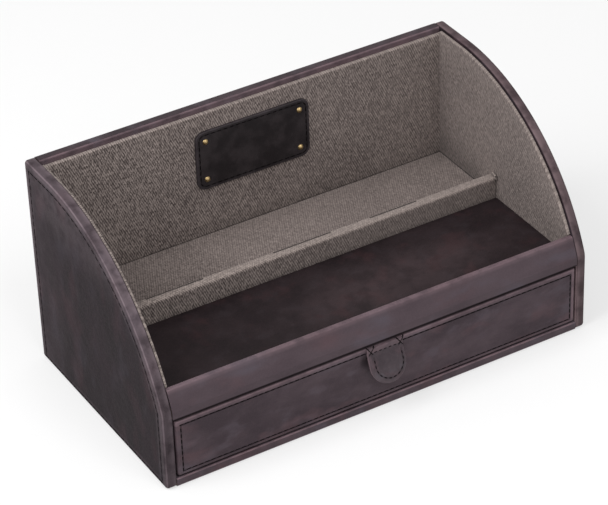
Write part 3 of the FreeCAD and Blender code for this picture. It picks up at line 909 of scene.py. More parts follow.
@dataclass(frozen=True)
class Shell:
    """The leather-covered panels: arched sides, back, base and front rail.

    A range is in millimetres, from where its mask is 0 to where it is 1.
    """

    case: Case
    thread: Material
    seam_inset: float = 5.6 * MM
    seam_lift: float = 2.65 * MM
    seam_width: float = 1.1 * MM
    seam_rise: float = 0.24 * MM
    edge_rub: float = 0.42
    inner_rub: float = 0.24
    inner_range: Range = (4.0, 0.8)
    arch_rub: float = 0.16
    arch_rise: Range = (75.0, 110.0)
    arch_fall: Range = (140.0, 122.0)
    rim_rub: float = 0.42
    rim_range: Range = (5.0, 3.4)
    seam_rub: float = 0.16
    seam_middle: float = 5.8
    seam_range: Range = (3.2, 1.6)
    # Painted light that lifts the shade on the inner faces in the drawer bay.
    bay_light_range: Range = (54.0, 48.0)
    ground_range: Range = (15.0, 115.0)
    # Painted light from above on the upper part of the outer faces.
    top_light: float = 0.2
    top_light_range: Range = (95.0, 135.0)
    rear_fade: float = 0.07
    rear_range: Range = (25.0, 72.0)
    strip_rub: float = 0.6

    def reach(self, shader: Shader) -> Signal:
        """Distance in millimetres from a side panel's outline, seen from the side.

        Args:
            shader: The material under construction.

        Returns:
            The distance, above 0 inside the outline.
        """
        _, y, z = shader.spot()
        middle, radius = self.case.arch_middle / MM, self.case.arch_radius / MM
        low, high = self.case.box("side_cover_left", MM)
        arch = radius - (y - middle.y).lower_of(0.0).diagonal(z - middle.z)
        foot = z + (self.seam_inset - self.seam_lift) / MM
        return arch.lower_of(y - low.y).lower_of(high.y - y).lower_of(foot)

    def side_seam(self, shader: Shader) -> Signal:
        """The line that the seam presses into a side panel's outer face, partly painted shade in
        its groove.
        """
        away = abs(self.reach(shader) - self.seam_inset / MM)
        return away.step(0.75, 0.3) * abs(shader.facing()[0]).step(0.5, 0.9) * 0.5

    def side_wear_and_light(self, hand: Hand, shader: Shader) -> Signal:
        """A side panel's rubbed arris, edge and rim, painted light on its inner face in the drawer
        bay and from above on the upper outer face, and its paler back.

        Args:
            hand: The side of the case.
            shader: The material under construction.

        Returns:
            How pale it is, from rubbing and painted light, from 0 to 1.
        """
        inner = self.case.box("side_cover_right", MM)[0].x
        x, y, z = shader.spot()
        outward = shader.facing()[0] * hand.side
        face = outward.step(0.7, 0.95)
        turn = (outward * (1.0 - outward * outward).root() * 2.0).step(0.6, 1.0)
        lining = (x * hand.side - inner).step(*self.inner_range) * self.inner_rub
        arch = z.step(*self.arch_rise) * z.step(*self.arch_fall) * self.arch_rub
        edge = abs(outward).step(0.75, 0.25) * (lining + self.edge_rub + arch)
        reach = self.reach(shader)
        seam = abs(reach - self.seam_middle).step(*self.seam_range) * self.seam_rub
        rim = (reach.step(*self.rim_range) * self.rim_rub).upper_of(seam) * face
        # Painted light that lifts the shade on the inner face beside the drawer.
        bay = outward.step(-0.5, -0.75) * z.step(*self.bay_light_range)
        outline = (turn * hand.ridge).upper_of(edge).upper_of(rim).upper_of(bay)
        worn = outline * (z.step(*self.ground_range) * hand.fade + (1.0 - hand.fade))
        # Painted light from above on the upper part of the outer face.
        top = z.step(*self.top_light_range) * self.top_light
        rear = y.step(*self.rear_range) * self.rear_fade
        return worn.upper_of(top.upper_of(rear) * face)

    def long_wear(self, shader: Shader) -> Signal:
        """Rubbing on the long arrises, which run from side to side."""
        _, ahead, up = shader.facing()
        return abs(ahead * up * 2.0).step(0.35, 0.98)

    def back_wear(self, shader: Shader) -> Signal:
        """Rubbing on the back's long arrises and on the strip over its lining."""
        strip = shader.facing()[1].step(-0.5, -0.9) * self.strip_rub
        return self.long_wear(shader).upper_of(strip)

    def rail_wear(self, shader: Shader) -> Signal:
        """Rubbing along the top of the front rail."""
        below = self.case.box("rail_cover", MM)[1].z - shader.spot()[2]
        return below.step(3.0, 1.2) * 0.3 + below.step(1.2, 0.3) * 0.34

    def rail_gap_shade(self, shader: Shader) -> Signal:
        """Painted shade on the lower arris over the drawer, in the gap, more than 1 for full
        strength.
        """
        above = shader.spot()[2] - self.case.box("rail_cover", MM)[0].z
        return above.step(0.9, 0.3) * 2.4

    def side_path(self, hand: Hand) -> list[Vector]:
        """Line of the seam round a side panel's outer face.

        Args:
            hand: The side of the case.

        Returns:
            The corners and the points of the arch.
        """
        case, inset = self.case, self.seam_inset
        low, high = case.box(f"side_cover_{hand.name}")
        x = high.x if hand.side > 0 else low.x
        front, back = low.y + inset, high.y - inset
        foot, top = low.z + self.seam_lift, high.z - inset
        radius = case.arch_radius - inset
        middle = Vector((x, case.arch_middle.y, case.arch_middle.z))
        start = math.degrees(math.acos((middle.y - front) / radius))
        bend = arc(middle, radius, (FRONT, UP), start, 90)
        return [Vector((x, front, foot)), *bend, Vector((x, back, top)), Vector((x, back, foot))]

    def back_path(self) -> list[Vector]:
        """Line of the seam round the back's outer face.

        Returns:
            The corners.
        """
        low, high = self.case.box("back_cover")
        x, top, foot = high.x - self.seam_inset, high.z - self.seam_inset, low.z + self.seam_inset
        return [Vector((u, high.y, v)) for u, v in ((-x, foot), (-x, top), (x, top), (x, foot))]

    def side(self, hand: Hand) -> None:
        """Dress a side panel and sew its seam.

        Args:
            hand: The side of the case.
        """
        hide = Leather(
            f"side_leather_{hand.name}",
            deep=shade(27, 21, 24),
            plain=shade(38, 31, 35),
            cool=shade(45, 40, 46),
            warm=shade(53, 37, 42),
            rubbed=hand.rubbed,
            gloss=0.03,
            streaks=(1.0, 1.0, 2.0),
            seed=hand.number * 9.0,
        )
        # Painted light beside the drawer and on the upper face; the seam line is partly painted
        # shade.
        material = hide.build(partial(self.side_wear_and_light, hand), self.side_seam)
        self.case.clothe(material, f"side_cover_{hand.name}")
        sizes = {"width": self.seam_width, "rise": self.seam_rise}
        border = Seam(self.side_path(hand), RIGHT * hand.side, closed=True, **sizes)
        border.sew(f"side_stitches_{hand.name}", "case", self.thread)

    def build(self) -> None:
        """Dress the panels, their boards and the underside, and sew the seams."""
        case = self.case
        for hand in HANDS:
            self.side(hand)
        back = Leather("back_leather", shade(50, 42, 46), shade(68, 58, 62), rub=0.6, seed=23.0)
        case.clothe(back.build(self.back_wear), "back_cover")
        base = Leather("base_leather", shade(63, 54, 59), shade(84, 73, 78), seed=35.0)
        case.clothe(base.build(self.long_wear), "base_cover")
        tones, along = (shade(67, 57, 62), shade(79, 68, 73)), (2.2, 1.0, 1.0)
        rail = Leather("rail_leather", *tones, streaks=along, seed=101.8)
        # The rail's lower arris gets painted shade in the gap over the drawer.
        case.clothe(rail.build(self.rail_wear, self.rail_gap_shade), "rail_cover")
        border = Seam(self.back_path(), -FRONT, closed=True)
        border.sew("back_stitches", "case", self.thread)
        boards = [name for name in case.nodes if "board" in name or "card" in name]
        case.clothe(Fibreboard("covered_board").build(), *boards)
        case.clothe(Felt("underside_felt").build(), "base_felt")
        sheet = Felt("slip_sheet", shade(44, 38, 40), shade(62, 55, 58))
        case.clothe(sheet.build(), "bay_slip_sheet")


@dataclass(frozen=True)
class Compartments:
    """Canvas-lined rear compartment, its divider and the padded front tray.

    The ear is the fold at the divider's right end. Its place from the divider's corner and
    its size are in millimetres, and so are the divider's tucks, the tray's wear and the
    ranges, which go from where a mask is 0 to where it is 1.
    """

    case: Case
    pad_sink: float = 0.35 * MM
    pad_cell: float = 4.5 * MM
    pad_pressure: float = 3.0
    pad_frames: int = 16
    pad_cap: float = 0.8 * MM
    pad_hem: float = 0.5 * MM
    pad_round: float = 0.6 * MM
    ear_place: tuple[float, float, float] = (-1.0, -6.4, 0.8)
    ear_size: tuple[float, float] = (4.2, 4.6)
    ear_thick: float = 0.9 * MM
    # Painted shade low on the linings and along their corners with the floor.
    shade_depth: Range = (4.0, 20.0)
    corner_shade_depth: Range = (0.0, 1.0)
    corner_shade_height: Range = (1.5, 0.7)
    tuck_line: float = 1.7
    tuck_width: Range = (1.0, 0.5)
    tuck_height: Range = (-1.8, -1.1)
    tucks: tuple[Range, ...] = ((-110.0, -70.0), (-21.0, 21.0), (49.0, 84.0))
    fray_range: Range = (1.3, 0.5)
    wear_middle: tuple[float, float] = (40.0, -38.0)
    wear_reach: tuple[float, float] = (105.0, 34.0)

    def edge_rub(self, axis: int, shader: Shader) -> Signal:
        """Pale edge where a lining's canvas turns away from its face's axis, over its card."""
        return abs(shader.facing()[axis]).step(0.9, 0.3) * 0.25

    def foot_shade(self, strength: float, rise: float, line: float, shader: Shader) -> Signal:
        """Painted shade low on a lining, behind the divider, which keeps light from it.

        Args:
            strength: How dark the painted shade is just over the floor, from 0 to 1.
            rise: Height in millimetres at which the painted shade ends.
            line: How dark the painted shade is along the corner with the floor, from 0 to 1.
            shader: The material under construction.

        Returns:
            How dark the lining is, from 0 to 1.
        """
        _, y, z = shader.spot()
        above = z - self.case.box("rear_floor_canvas", MM)[1].z
        behind = y - self.case.box("divider_canvas", MM)[1].y
        # Painted shade rising from the floor.
        cloud = above.step(rise, -2.0) * behind.step(*self.shade_depth) * strength
        # Painted shade along the corner with the floor.
        corner_shade = above.step(*self.corner_shade_height) * behind.step(*self.corner_shade_depth) * line
        return cloud.upper_of(corner_shade)

    def floor_shade(self, shader: Shader) -> Signal:
        """Painted shade at the left end of the rear floor, where the left panel keeps light from
        it.
        """
        return shader.spot()[0].step(0.0, -120.0) * 0.14

    def divider_rub(self, shader: Shader) -> Signal:
        """Pale nap along the divider's top, and frays where its tucks end.

        Args:
            shader: The material under construction.

        Returns:
            How pale it is, from 0 to 1.
        """
        x, y, _ = shader.spot()
        back = y - (self.case.box("divider_canvas", MM)[1].y - self.tuck_line)
        nap = shader.facing()[2].step(0.35, 0.9) * 0.28
        for _, end in self.tucks:
            nap = nap.upper_of((x - end).diagonal(back).step(*self.fray_range) * 0.8)
        return nap

    def divider_shade(self, shader: Shader) -> Signal:
        """Painted shade at the divider's ends, in the gaps to the linings, low on its front and in
        its three tucks.

        Args:
            shader: The material under construction.

        Returns:
            How dark it is, from 0 to 1.
        """
        low, high = self.case.box("divider_canvas", MM)
        x, y, z = shader.spot()
        # Painted shade at the ends, in the gaps to the linings, and low on the front.
        ends = abs(x).step(high.x - 1.4, high.x - 0.4) * 0.6
        painted_shade = ends.upper_of(z.step(low.z + 6.0, low.z + 1.0) * 0.3)
        # Painted shade in the three tucks.
        back, up = y - (high.y - self.tuck_line), z - high.z
        line = abs(back).step(*self.tuck_width) * up.step(*self.tuck_height)
        for start, end in self.tucks:
            within = x.step(start - 0.5, start + 0.5) * x.step(end + 0.3, end - 0.7)
            painted_shade = painted_shade.upper_of(line * within * 0.8)
        return painted_shade

    def tray_wear(self, shader: Shader) -> Signal:
        """Where things are laid in the tray, right of its middle.

        Args:
            shader: The material under construction.

        Returns:
            How strongly it is rubbed, from 0 to 1.
        """
        sides = zip(shader.spot(), self.wear_middle, self.wear_reach)
        across, ahead = ((side - middle) / reach for side, middle, reach in sides)
        return across.diagonal(ahead).step(1.05, 0.2) * 0.26

    def ear_rub(self, shader: Shader) -> Signal:
        """Pale nap on the upper edge of the fold at the divider's end."""
        return shader.facing()[2].step(-0.5, 0.3) * 0.35

    def ear(self) -> None:
        """Model the fold of canvas that stands up at the divider's right end."""
        middle = self.case.box("divider_canvas")[1] + Vector(self.ear_place) * MM
        width, height = (part * MM for part in self.ear_size)
        deselect()
        bpy.ops.mesh.primitive_grid_add(x_subdivisions=5, y_subdivisions=3, size=1, location=middle)
        fold = bpy.context.object
        fold.rotation_euler = (math.radians(8), math.radians(84), 0)
        bpy.ops.transform.resize(value=(width, height, 1), orient_type="LOCAL")
        apply_place()
        for point in fold.data.vertices:
            lift = (point.co.z - middle.z) / (width / 2)
            point.co.x -= 0.5 * MM * lift * abs(lift)
            point.co.y *= 1.0 - 0.05 * max(lift, 0.0)
        modify(fold, "SOLIDIFY", thickness=self.ear_thick, offset=0.0)
        soften(fold, 0.2 * MM, 2)
        piece = settle(fold, "divider_ear")
        dress(piece, Canvas("ear_canvas", -FRONT, UP, seed=2.0).build(rubbed=self.ear_rub))
        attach(piece, "case")

    def swell(self, pad: Piece, pinned: Callable[[Vector], bool]) -> None:
        """Blow a pad up as cloth under pressure, and cap how far each point moves.

        Args:
            pad: The closed mesh.
            pinned: Test of the points that stay.
        """
        starts = [point.co.copy() for point in pad.data.vertices]
        hem = pad.vertex_groups.new(name="hem")
        hem.add([i for i, spot in enumerate(starts) if pinned(spot)], 1.0, "ADD")
        activate(pad)
        cloth = pad.modifiers.new("swelling", "CLOTH")
        cloth.settings.vertex_group_mass = hem.name
        cloth.settings.use_pressure = True
        cloth.settings.uniform_pressure_force = self.pad_pressure
        cloth.settings.effector_weights.gravity = 0.0
        for frame in range(1, self.pad_frames + 1):
            bpy.context.scene.frame_set(frame)
        bpy.ops.object.modifier_apply(modifier=cloth.name)
        bpy.context.scene.frame_set(1)
        pad.vertex_groups.clear()
        most = 0.0
        for point, start in zip(pad.data.vertices, starts):
            way = point.co - start
            if way.length > self.pad_cap:
                point.co = start + way * (self.pad_cap / way.length)
            most = max(most, (point.co - start).length)
        log.info("tray pad: swelled %.2f mm", most / MM)

    def tray_pad(self) -> None:
        """Model the tray's leather floor: a thin pad, a little fuller than its edges."""
        low, high = self.case.box("tray_leather")
        size, middle = high - low, (low + high) / 2
        thick = size.z - self.pad_sink
        across, ahead = (max(2, round(part / self.pad_cell)) for part in size.xy)
        place = (middle.x, middle.y, low.z)
        deselect()
        bpy.ops.mesh.primitive_grid_add(
            x_subdivisions=across, y_subdivisions=ahead, size=1, location=place
        )
        pad = bpy.context.object
        bpy.ops.transform.resize(value=(size.x, size.y, 1))
        apply_place()
        modify(pad, "SOLIDIFY", thickness=thick, offset=1.0)

        def pinned(spot: Vector) -> bool:
            """Whether a point lies underneath or on the outline."""
            rim = min(*(spot - low).xy, *(high - spot).xy)
            return spot.z < low.z + thick / 2 or rim < self.pad_hem

        self.swell(pad, pinned)
        soften(pad, self.pad_round, 3)
        modify(pad, "SUBSURF", levels=1, render_levels=1)
        piece = settle(pad, "tray_pad", smooth=40)
        hide = Leather(
            "tray_leather",
            deep=shade(31, 25, 27),
            plain=shade(42, 34, 36),
            cool=shade(44, 38, 41),
            warm=shade(54, 37, 39),
            rubbed=shade(98, 82, 85),
            clouds=30.0,
            seed=92.3,
        )
        dress(piece, hide.build(self.tray_wear))
        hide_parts("tray_leather", "tray_pad_core")
        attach(piece, "case")

    def build(self) -> None:
        """Dress the linings, and make the divider's fold and the tray's floor."""
        case = self.case
        back = Canvas("back_canvas", RIGHT, UP, contrast=(1.1, 0.7))
        # Painted shade low on the back lining and along its corner with the floor.
        painted_shade = partial(self.foot_shade, 0.2, 14.0, 0.6)
        case.clothe(back.build(painted_shade, partial(self.edge_rub, 1)), "back_lining_canvas")
        # Painted shade low on the side linings and along their corners with the floor.
        painted_shade, edge = partial(self.foot_shade, 0.42, 34.0, 0.85), partial(self.edge_rub, 0)
        for hand in HANDS:
            name, seed = f"side_canvas_{hand.name}", hand.number * 7.0 + 3.0
            side = Canvas(name, FRONT, UP, contrast=(1.0, 0.55), seed=seed)
            case.clothe(side.build(painted_shade, edge), f"lining_canvas_{hand.name}")
        floor = Canvas("floor_canvas", RIGHT, FRONT, contrast=(0.6, 0.4), seed=21.0)
        # Painted shade at the rear floor's left end.
        case.clothe(floor.build(self.floor_shade), "rear_floor_canvas")
        bar = Canvas("divider_canvas", RIGHT, UP - FRONT, contrast=(1.15, 0.5), seed=33.0)
        # Painted shade at the divider's ends, low on its front and in its tucks.
        case.clothe(bar.build(self.divider_shade, self.divider_rub), "divider_canvas")
        self.ear()
        self.tray_pad()


@dataclass(frozen=True)
class Plaque:
    """The plain leather plaque on the back, its sewn border and its four pins."""

    case: Case
    thread: Material
    inset: float = 2.3 * MM
    corner: float = 6.0 * MM

    def border(self) -> list[Vector]:
        """Line of the border seam, a rounded rectangle on the plaque's face.

        Returns:
            The points of its four rounded corners.
        """
        low, high = self.case.box("plaque")
        left, right = low.x + self.corner, high.x - self.corner
        foot, top = low.z + self.corner, high.z - self.corner
        path: list[Vector] = []
        for turn, (x, z) in enumerate(((right, top), (left, top), (left, foot), (right, foot))):
            middle, start = Vector((x, low.y, z)), turn * 90
            path += arc(middle, self.corner - self.inset, (RIGHT, UP), start, start + 90)
        return path

    def rim(self, shader: Shader) -> Signal:
        """Distance in millimetres from the plaque's edge, seen from the front.

        Args:
            shader: The material under construction.

        Returns:
            The distance, above 0 inside the edge.
        """
        low, high = self.case.box("plaque", MM)
        middle, half = (low + high) / 2, (high - low) / 2
        radius = self.corner / MM
        x, _, z = shader.spot()
        across = (abs(x - middle.x) - (half.x - radius)).upper_of(0.0)
        up = (abs(z - middle.z) - (half.z - radius)).upper_of(0.0)
        return radius - across.diagonal(up)

    def wear(self, shader: Shader) -> Signal:
        """Paleness between the plaque's seam and its edge."""
        return self.rim(shader).step(2.0, 0.3) * 0.35

    def seam(self, shader: Shader) -> Signal:
        """The line that the seam presses into the face, darkened partly with painted shade in its
        groove.
        """
        return abs(self.rim(shader) - self.inset / MM).step(0.7, 0.25)

    def build(self) -> None:
        """Dress the plaque and its pins, and sew the border."""
        # The plaque's seam line is partly painted shade.
        self.case.clothe(PlainLeather("plaque_leather").build(self.wear, self.seam), "plaque")
        self.case.clothe(Brass("pin_brass").build(), "plaque_pins")
        sizes = {"pitch": 4.4 * MM, "length": 2.9 * MM, "width": 0.85 * MM, "rise": 0.1 * MM}
        border = Seam(self.border(), FRONT, closed=True, **sizes)
        border.sew("plaque_stitches", "case", self.thread)


@dataclass(frozen=True)
class Drawer:
    """The drawer: leather front with a sewn rim, board box and canvas inside.

    The place of the painted shadow beside the tab, from the tab's corner, and the ranges are
    in millimetres. A range goes from where its mask is 0 to where it is 1.
    """

    case: Case
    thread: Material
    seam_side: float = 3.6 * MM
    seam_top: float = 4.1 * MM
    seam_foot: float = 3.1 * MM
    seam_pitch: float = 4.15 * MM
    stitch_length: float = 2.8 * MM
    rim_range: Range = (-0.3, -1.2)
    edge_range: Range = (-1.6, -3.0)
    # Painted light on the right end's rounding, which lifts the shade in the gap to the side panel.
    lit_end_range: Range = (-3.2, -2.0)
    # Painted light on the rim that grows towards the right.
    lit_range: Range = (-130.0, 130.0)
    # Place and reach of the painted shadow beside the tab.
    tab_shadow: Range = (-1.2, -4.2)
    tab_shadow_range: Range = (4.6, 0.8)

    def seam_distance(self, shader: Shader) -> Signal:
        """Distance in millimetres from the seam: below zero on the rim outside it.

        Args:
            shader: The material under construction.

        Returns:
            The distance.
        """
        low, high = self.case.box("drawer_front_cover", MM)
        x, _, z = shader.spot()
        sides = high.x - self.seam_side / MM - abs(x)
        foot = z - (low.z + self.seam_foot / MM)
        top = high.z - self.seam_top / MM - z
        return sides.lower_of(foot).lower_of(top)

    def rim_wear_and_light(self, shader: Shader) -> Signal:
        """Rubbing on the rim outside the seam, fuller along the top, with painted light that grows
        to the right and painted light on the right end's rounding, which lifts the shade in the
        gap.

        Args:
            shader: The material under construction.

        Returns:
            How pale it is, from rubbing and painted light, from 0 to 1.
        """
        high = self.case.box("drawer_front_cover", MM)[1]
        x, _, z = shader.spot()
        edge = self.seam_distance(shader)
        top = high.z - self.seam_top / MM
        # Rubbing is fuller along the top; painted light grows towards the right.
        share = z.step(top - 0.5, top + 0.5).upper_of(x.step(*self.lit_range) * 0.5 + 0.15)
        rim = edge.step(*self.rim_range) * 0.45 + edge.step(*self.edge_range) * 0.4
        # Painted light on the right end's rounding.
        return (rim * share).upper_of((x - high.x).step(*self.lit_end_range) * 0.75)

    def seam(self, shader: Shader) -> Signal:
        """The pressed seam line, partly painted shade in its groove, with painted shade on the top
        arris in the gap under the rail and a painted shadow beside the tab.

        Args:
            shader: The material under construction.

        Returns:
            How dark it is, more than 1 for full strength.
        """
        root = self.case.box("tab_root", MM)[0]
        x, _, z = shader.spot()
        across, up = x - (root.x + self.tab_shadow[0]), z - (root.z + self.tab_shadow[1])
        # Painted shadow beside the tab.
        tab_shadow = across.diagonal(up * 0.6).step(*self.tab_shadow_range) * 1.9
        # Painted shade on the top arris, in the gap under the rail.
        gap = shader.facing()[2].step(0.3, 0.75) * 2.4
        # The seam line, partly painted shade in its groove.
        line = abs(self.seam_distance(shader)).step(0.75, 0.3)
        return line.upper_of(gap).upper_of(tab_shadow)

    def path(self) -> list[Vector]:
        """Line of the seam, open where the pull tab crosses it.

        Returns:
            Its ends and corners.
        """
        low, high = self.case.box("drawer_front_cover")
        tab_left, tab_right = (corner.x for corner in self.case.box("tab_root"))
        left, right = low.x + self.seam_side, high.x - self.seam_side
        foot, top = low.z + self.seam_foot, high.z - self.seam_top
        sides = ((left, top), (left, foot), (right, foot), (right, top))
        return [Vector((u, low.y, v)) for u, v in ((tab_left, top), *sides, (tab_right, top))]

    def build(self) -> None:
        """Dress the drawer and sew its front."""
        case, along = self.case, (1.7, 1.0, 1.0)
        cool = shade(78, 70, 77)
        hide = Leather("drawer_leather", cool=cool, clouds=26.0, streaks=along, seed=141.4)
        # Painted light on the rim; painted shade in the seam, on the top arris and beside the tab.
        case.clothe(hide.build(self.rim_wear_and_light, self.seam), "drawer_front_cover")
        wood = Fibreboard("drawer_board", shade(112, 88, 66), shade(150, 122, 94)).build()
        case.clothe(wood, "drawer_side_left", "drawer_side_right", "drawer_back", "drawer_bottom")
        floor = Canvas("drawer_floor_canvas", RIGHT, -FRONT, seed=5.0)
        case.clothe(floor.build(), "drawer_floor_cloth")
        walls = Canvas("drawer_wall_canvas", RIGHT - FRONT, UP, seed=11.0)
        case.clothe(walls.build(), "drawer_wall_cloth")
        border = Seam(self.path(), FRONT, pitch=self.seam_pitch, length=self.stitch_length)
        border.sew("drawer_stitches", "drawer", self.thread)


@dataclass(frozen=True)
class PullTab:
    """The leather tab, one strap from its sewn root over the fold to its round end."""

    case: Case
    thread: Material
    hang: float = 22.0
    thick: float = 1.6 * MM
    length: float = 20.2 * MM
    fold: Vector = field(default_factory=lambda: Vector((1.4, -81.8, 41.5)) * MM)
    stitch_pitch: float = 3.4 * MM
    stitch_length: float = 2.6 * MM
    seam_inset: float = 2.9 * MM
    seam_shift: float = 1.0 * MM
    seam_start: float = 2.6 * MM
    root_rub: float = 0.48
    root_seam_drop: float = 4.1 * MM
    root_seam_inset: float = 0.6 * MM
    tack_insets: tuple[float, float] = (2.4 * MM, 1.8 * MM)
    tack_lift: float = 0.6 * MM
    tack_tilt: float = 55.0
    tack_scale: tuple[float, float, float, float] = (3.5, 0.9, 1.6, 1.0)

    def hanging(self) -> Vector:
        """Direction in which the flap hangs."""
        cosine, sine = slanted(self.hang)
        return Vector((0, -sine, -cosine))

    def outward(self) -> Vector:
        """Direction out of the flap's face."""
        cosine, sine = slanted(self.hang)
        return Vector((0, -cosine, sine))

    def half(self) -> float:
        """Half the strap's width, which is the radius of its round end."""
        low, high = self.case.box("tab_root")
        return (high.x - low.x) / 2

    def tip(self) -> Vector:
        """Middle of the strap's round end."""
        return self.fold + self.hanging() * (self.length - self.half())

    def strap(self) -> Piece:
        """Model the strap: a half disc whose straight edge is drawn up over the fold.

        Returns:
            The mesh object, without its thickness.
        """
        low, high = self.case.box("tab_root")
        deselect()
        bpy.ops.mesh.primitive_circle_add(vertices=56, radius=self.half(), fill_type="NGON")
        disc = bpy.context.object
        choose(disc)
        bpy.ops.mesh.bisect(plane_co=(0, 0, 0), plane_no=(0, 1, 0), clear_outer=True)
        bpy.ops.object.mode_set(mode="OBJECT")
        here = self.tip()
        disc.matrix_world = turned(RIGHT, -self.hanging(), self.outward(), here)
        activate(disc)
        apply_place()
        x, y = self.fold.x, (low.y + high.y) / 2
        steps = (
            self.fold + self.hanging() * 1.8 * MM,
            self.fold + Vector((0, 0.02, 0.1)) * MM,
            Vector((x, y, self.fold.z + 1.5 * MM)),
            Vector((x, y, high.z - 0.9 * MM)),
            Vector((x, y, high.z)),
        )
        for there in steps:

            def upper(*ends: Vector, level: Vector = here.copy()) -> bool:
                """Whether an edge is the strap's upper one."""
                return all(math.dist(end.yz, level.yz) < 0.01 * MM for end in ends)

            choose(disc, edges=upper)
            bpy.ops.mesh.extrude_region_move(TRANSFORM_OT_translate={"value": there - here})
            bpy.ops.object.mode_set(mode="OBJECT")
            here = there
        return disc

    def wear(self, shader: Shader) -> Signal:
        """Rubbing on the tab's edges, on its root and outside its seam.

        Args:
            shader: The material under construction.

        Returns:
            How strongly it is rubbed, from 0 to 1.
        """
        above = shader.spot()[2] - self.fold.z / MM
        root = above.step(1.8, 2.8) * self.root_rub
        rim = self.seam_reach(shader).step(1.0, 2.4) * 0.16
        return (abs(shader.facing()[0]).step(0.25, 0.8) * 0.7).upper_of(root).upper_of(rim)

    def seam_reach(self, shader: Shader) -> Signal:
        """Distance in millimetres outside the flap's border seam.

        Args:
            shader: The material under construction.

        Returns:
            The distance, below 0 inside the seam.
        """
        middle, hanging = self.tip() / MM, self.hanging()
        across = shader.along(RIGHT) - (middle.x + self.seam_shift / MM)
        down = (shader.along(hanging) - middle.dot(hanging)).upper_of(0.0)
        return across.diagonal(down) - (self.half() - self.seam_inset) / MM

    def seam(self, shader: Shader) -> Signal:
        """The line that the border seam presses into the flap, partly painted shade in its groove.
        """
        flap = (shader.spot()[2] - self.fold.z / MM).step(0.0, -1.5)
        return abs(self.seam_reach(shader)).step(0.8, 0.3) * flap

    def stitches(self, path: Sequence[Vector], outward: Vector) -> Seam:
        """A seam of the tab's fine stitches along a path."""
        return Seam(path, outward, pitch=self.stitch_pitch, length=self.stitch_length)

    def sew_flap(self) -> None:
        """Sew the border of the flap."""
        face = self.outward() * self.thick / 2 + RIGHT * self.seam_shift
        radius = self.half() - self.seam_inset
        begin = self.fold + self.hanging() * self.seam_start + face
        bend = arc(self.tip() + face, radius, (RIGHT, self.hanging()), 0, 180)
        path = [begin + RIGHT * radius, *bend, begin - RIGHT * radius]
        self.stitches(path, self.outward()).sew("tab_stitches", "pull_tab", self.thread)

    def sew_root(self) -> None:
        """Sew the line that holds the root, with two crossed tacks."""
        low, high = self.case.box("tab_root")
        level = self.case.box("drawer_front_cover")[1].z - self.root_seam_drop
        tacks = []
        for x in (low.x + self.tack_insets[0], high.x - self.tack_insets[1]):
            spot = Vector((x, low.y, level + self.tack_lift))
            for tilt in (self.tack_tilt, -self.tack_tilt):
                cosine, sine = slanted(tilt)
                lean = Vector((cosine, 0, sine)) * MM
                crossing = Seam([spot - lean, spot + lean], FRONT).places()
                tacks += [place @ Matrix.Diagonal(self.tack_scale) for place in crossing]
        inset = self.root_seam_inset
        ends = [Vector((x, low.y, level)) for x in (low.x + inset, high.x - inset)]
        self.stitches(ends, FRONT).sew("tab_root_stitches", "drawer", self.thread, tacks)

    def build(self) -> None:
        """Make the tab and its two seams."""
        strap = self.strap()
        modify(strap, "SOLIDIFY", thickness=self.thick, offset=0.0)
        soften(strap, 0.45 * MM, 3)
        piece = settle(strap, "pull_tab_leather", smooth=35)
        hide = Leather(
            "tab_leather",
            deep=shade(60, 53, 57),
            plain=shade(76, 68, 72),
            cool=shade(79, 76, 82),
            warm=shade(84, 68, 73),
            clouds=18.0,
            seed=101.0,
        )
        # The border seam's line is partly painted shade.
        dress(piece, hide.build(self.wear, self.seam))
        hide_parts("tab_root", "pull_tab")
        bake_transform(piece)
        self.sew_flap()
        self.sew_root()


# -------------------------------------------------------------------- studio


@dataclass(frozen=True)
class Lamp:
    """A soft square lamp aimed at the object."""

    name: str
    place: tuple[float, float, float]
    size: float
    power: float

    def light(self, target: Vector) -> None:
        """Set up the lamp.

        Args:
            target: Point that it is aimed at.
        """
        data = bpy.data.lights.new(self.name, "AREA")
        data.shape = "SQUARE"
        data.size = self.size
        data.energy = self.power
        lamp = bpy.data.objects.new(self.name, data)
        lamp.location = self.place
        aim = target - Vector(self.place)
        lamp.rotation_euler = aim.to_track_quat("-Z", "Y").to_euler()
        bpy.context.scene.collection.objects.link(lamp)


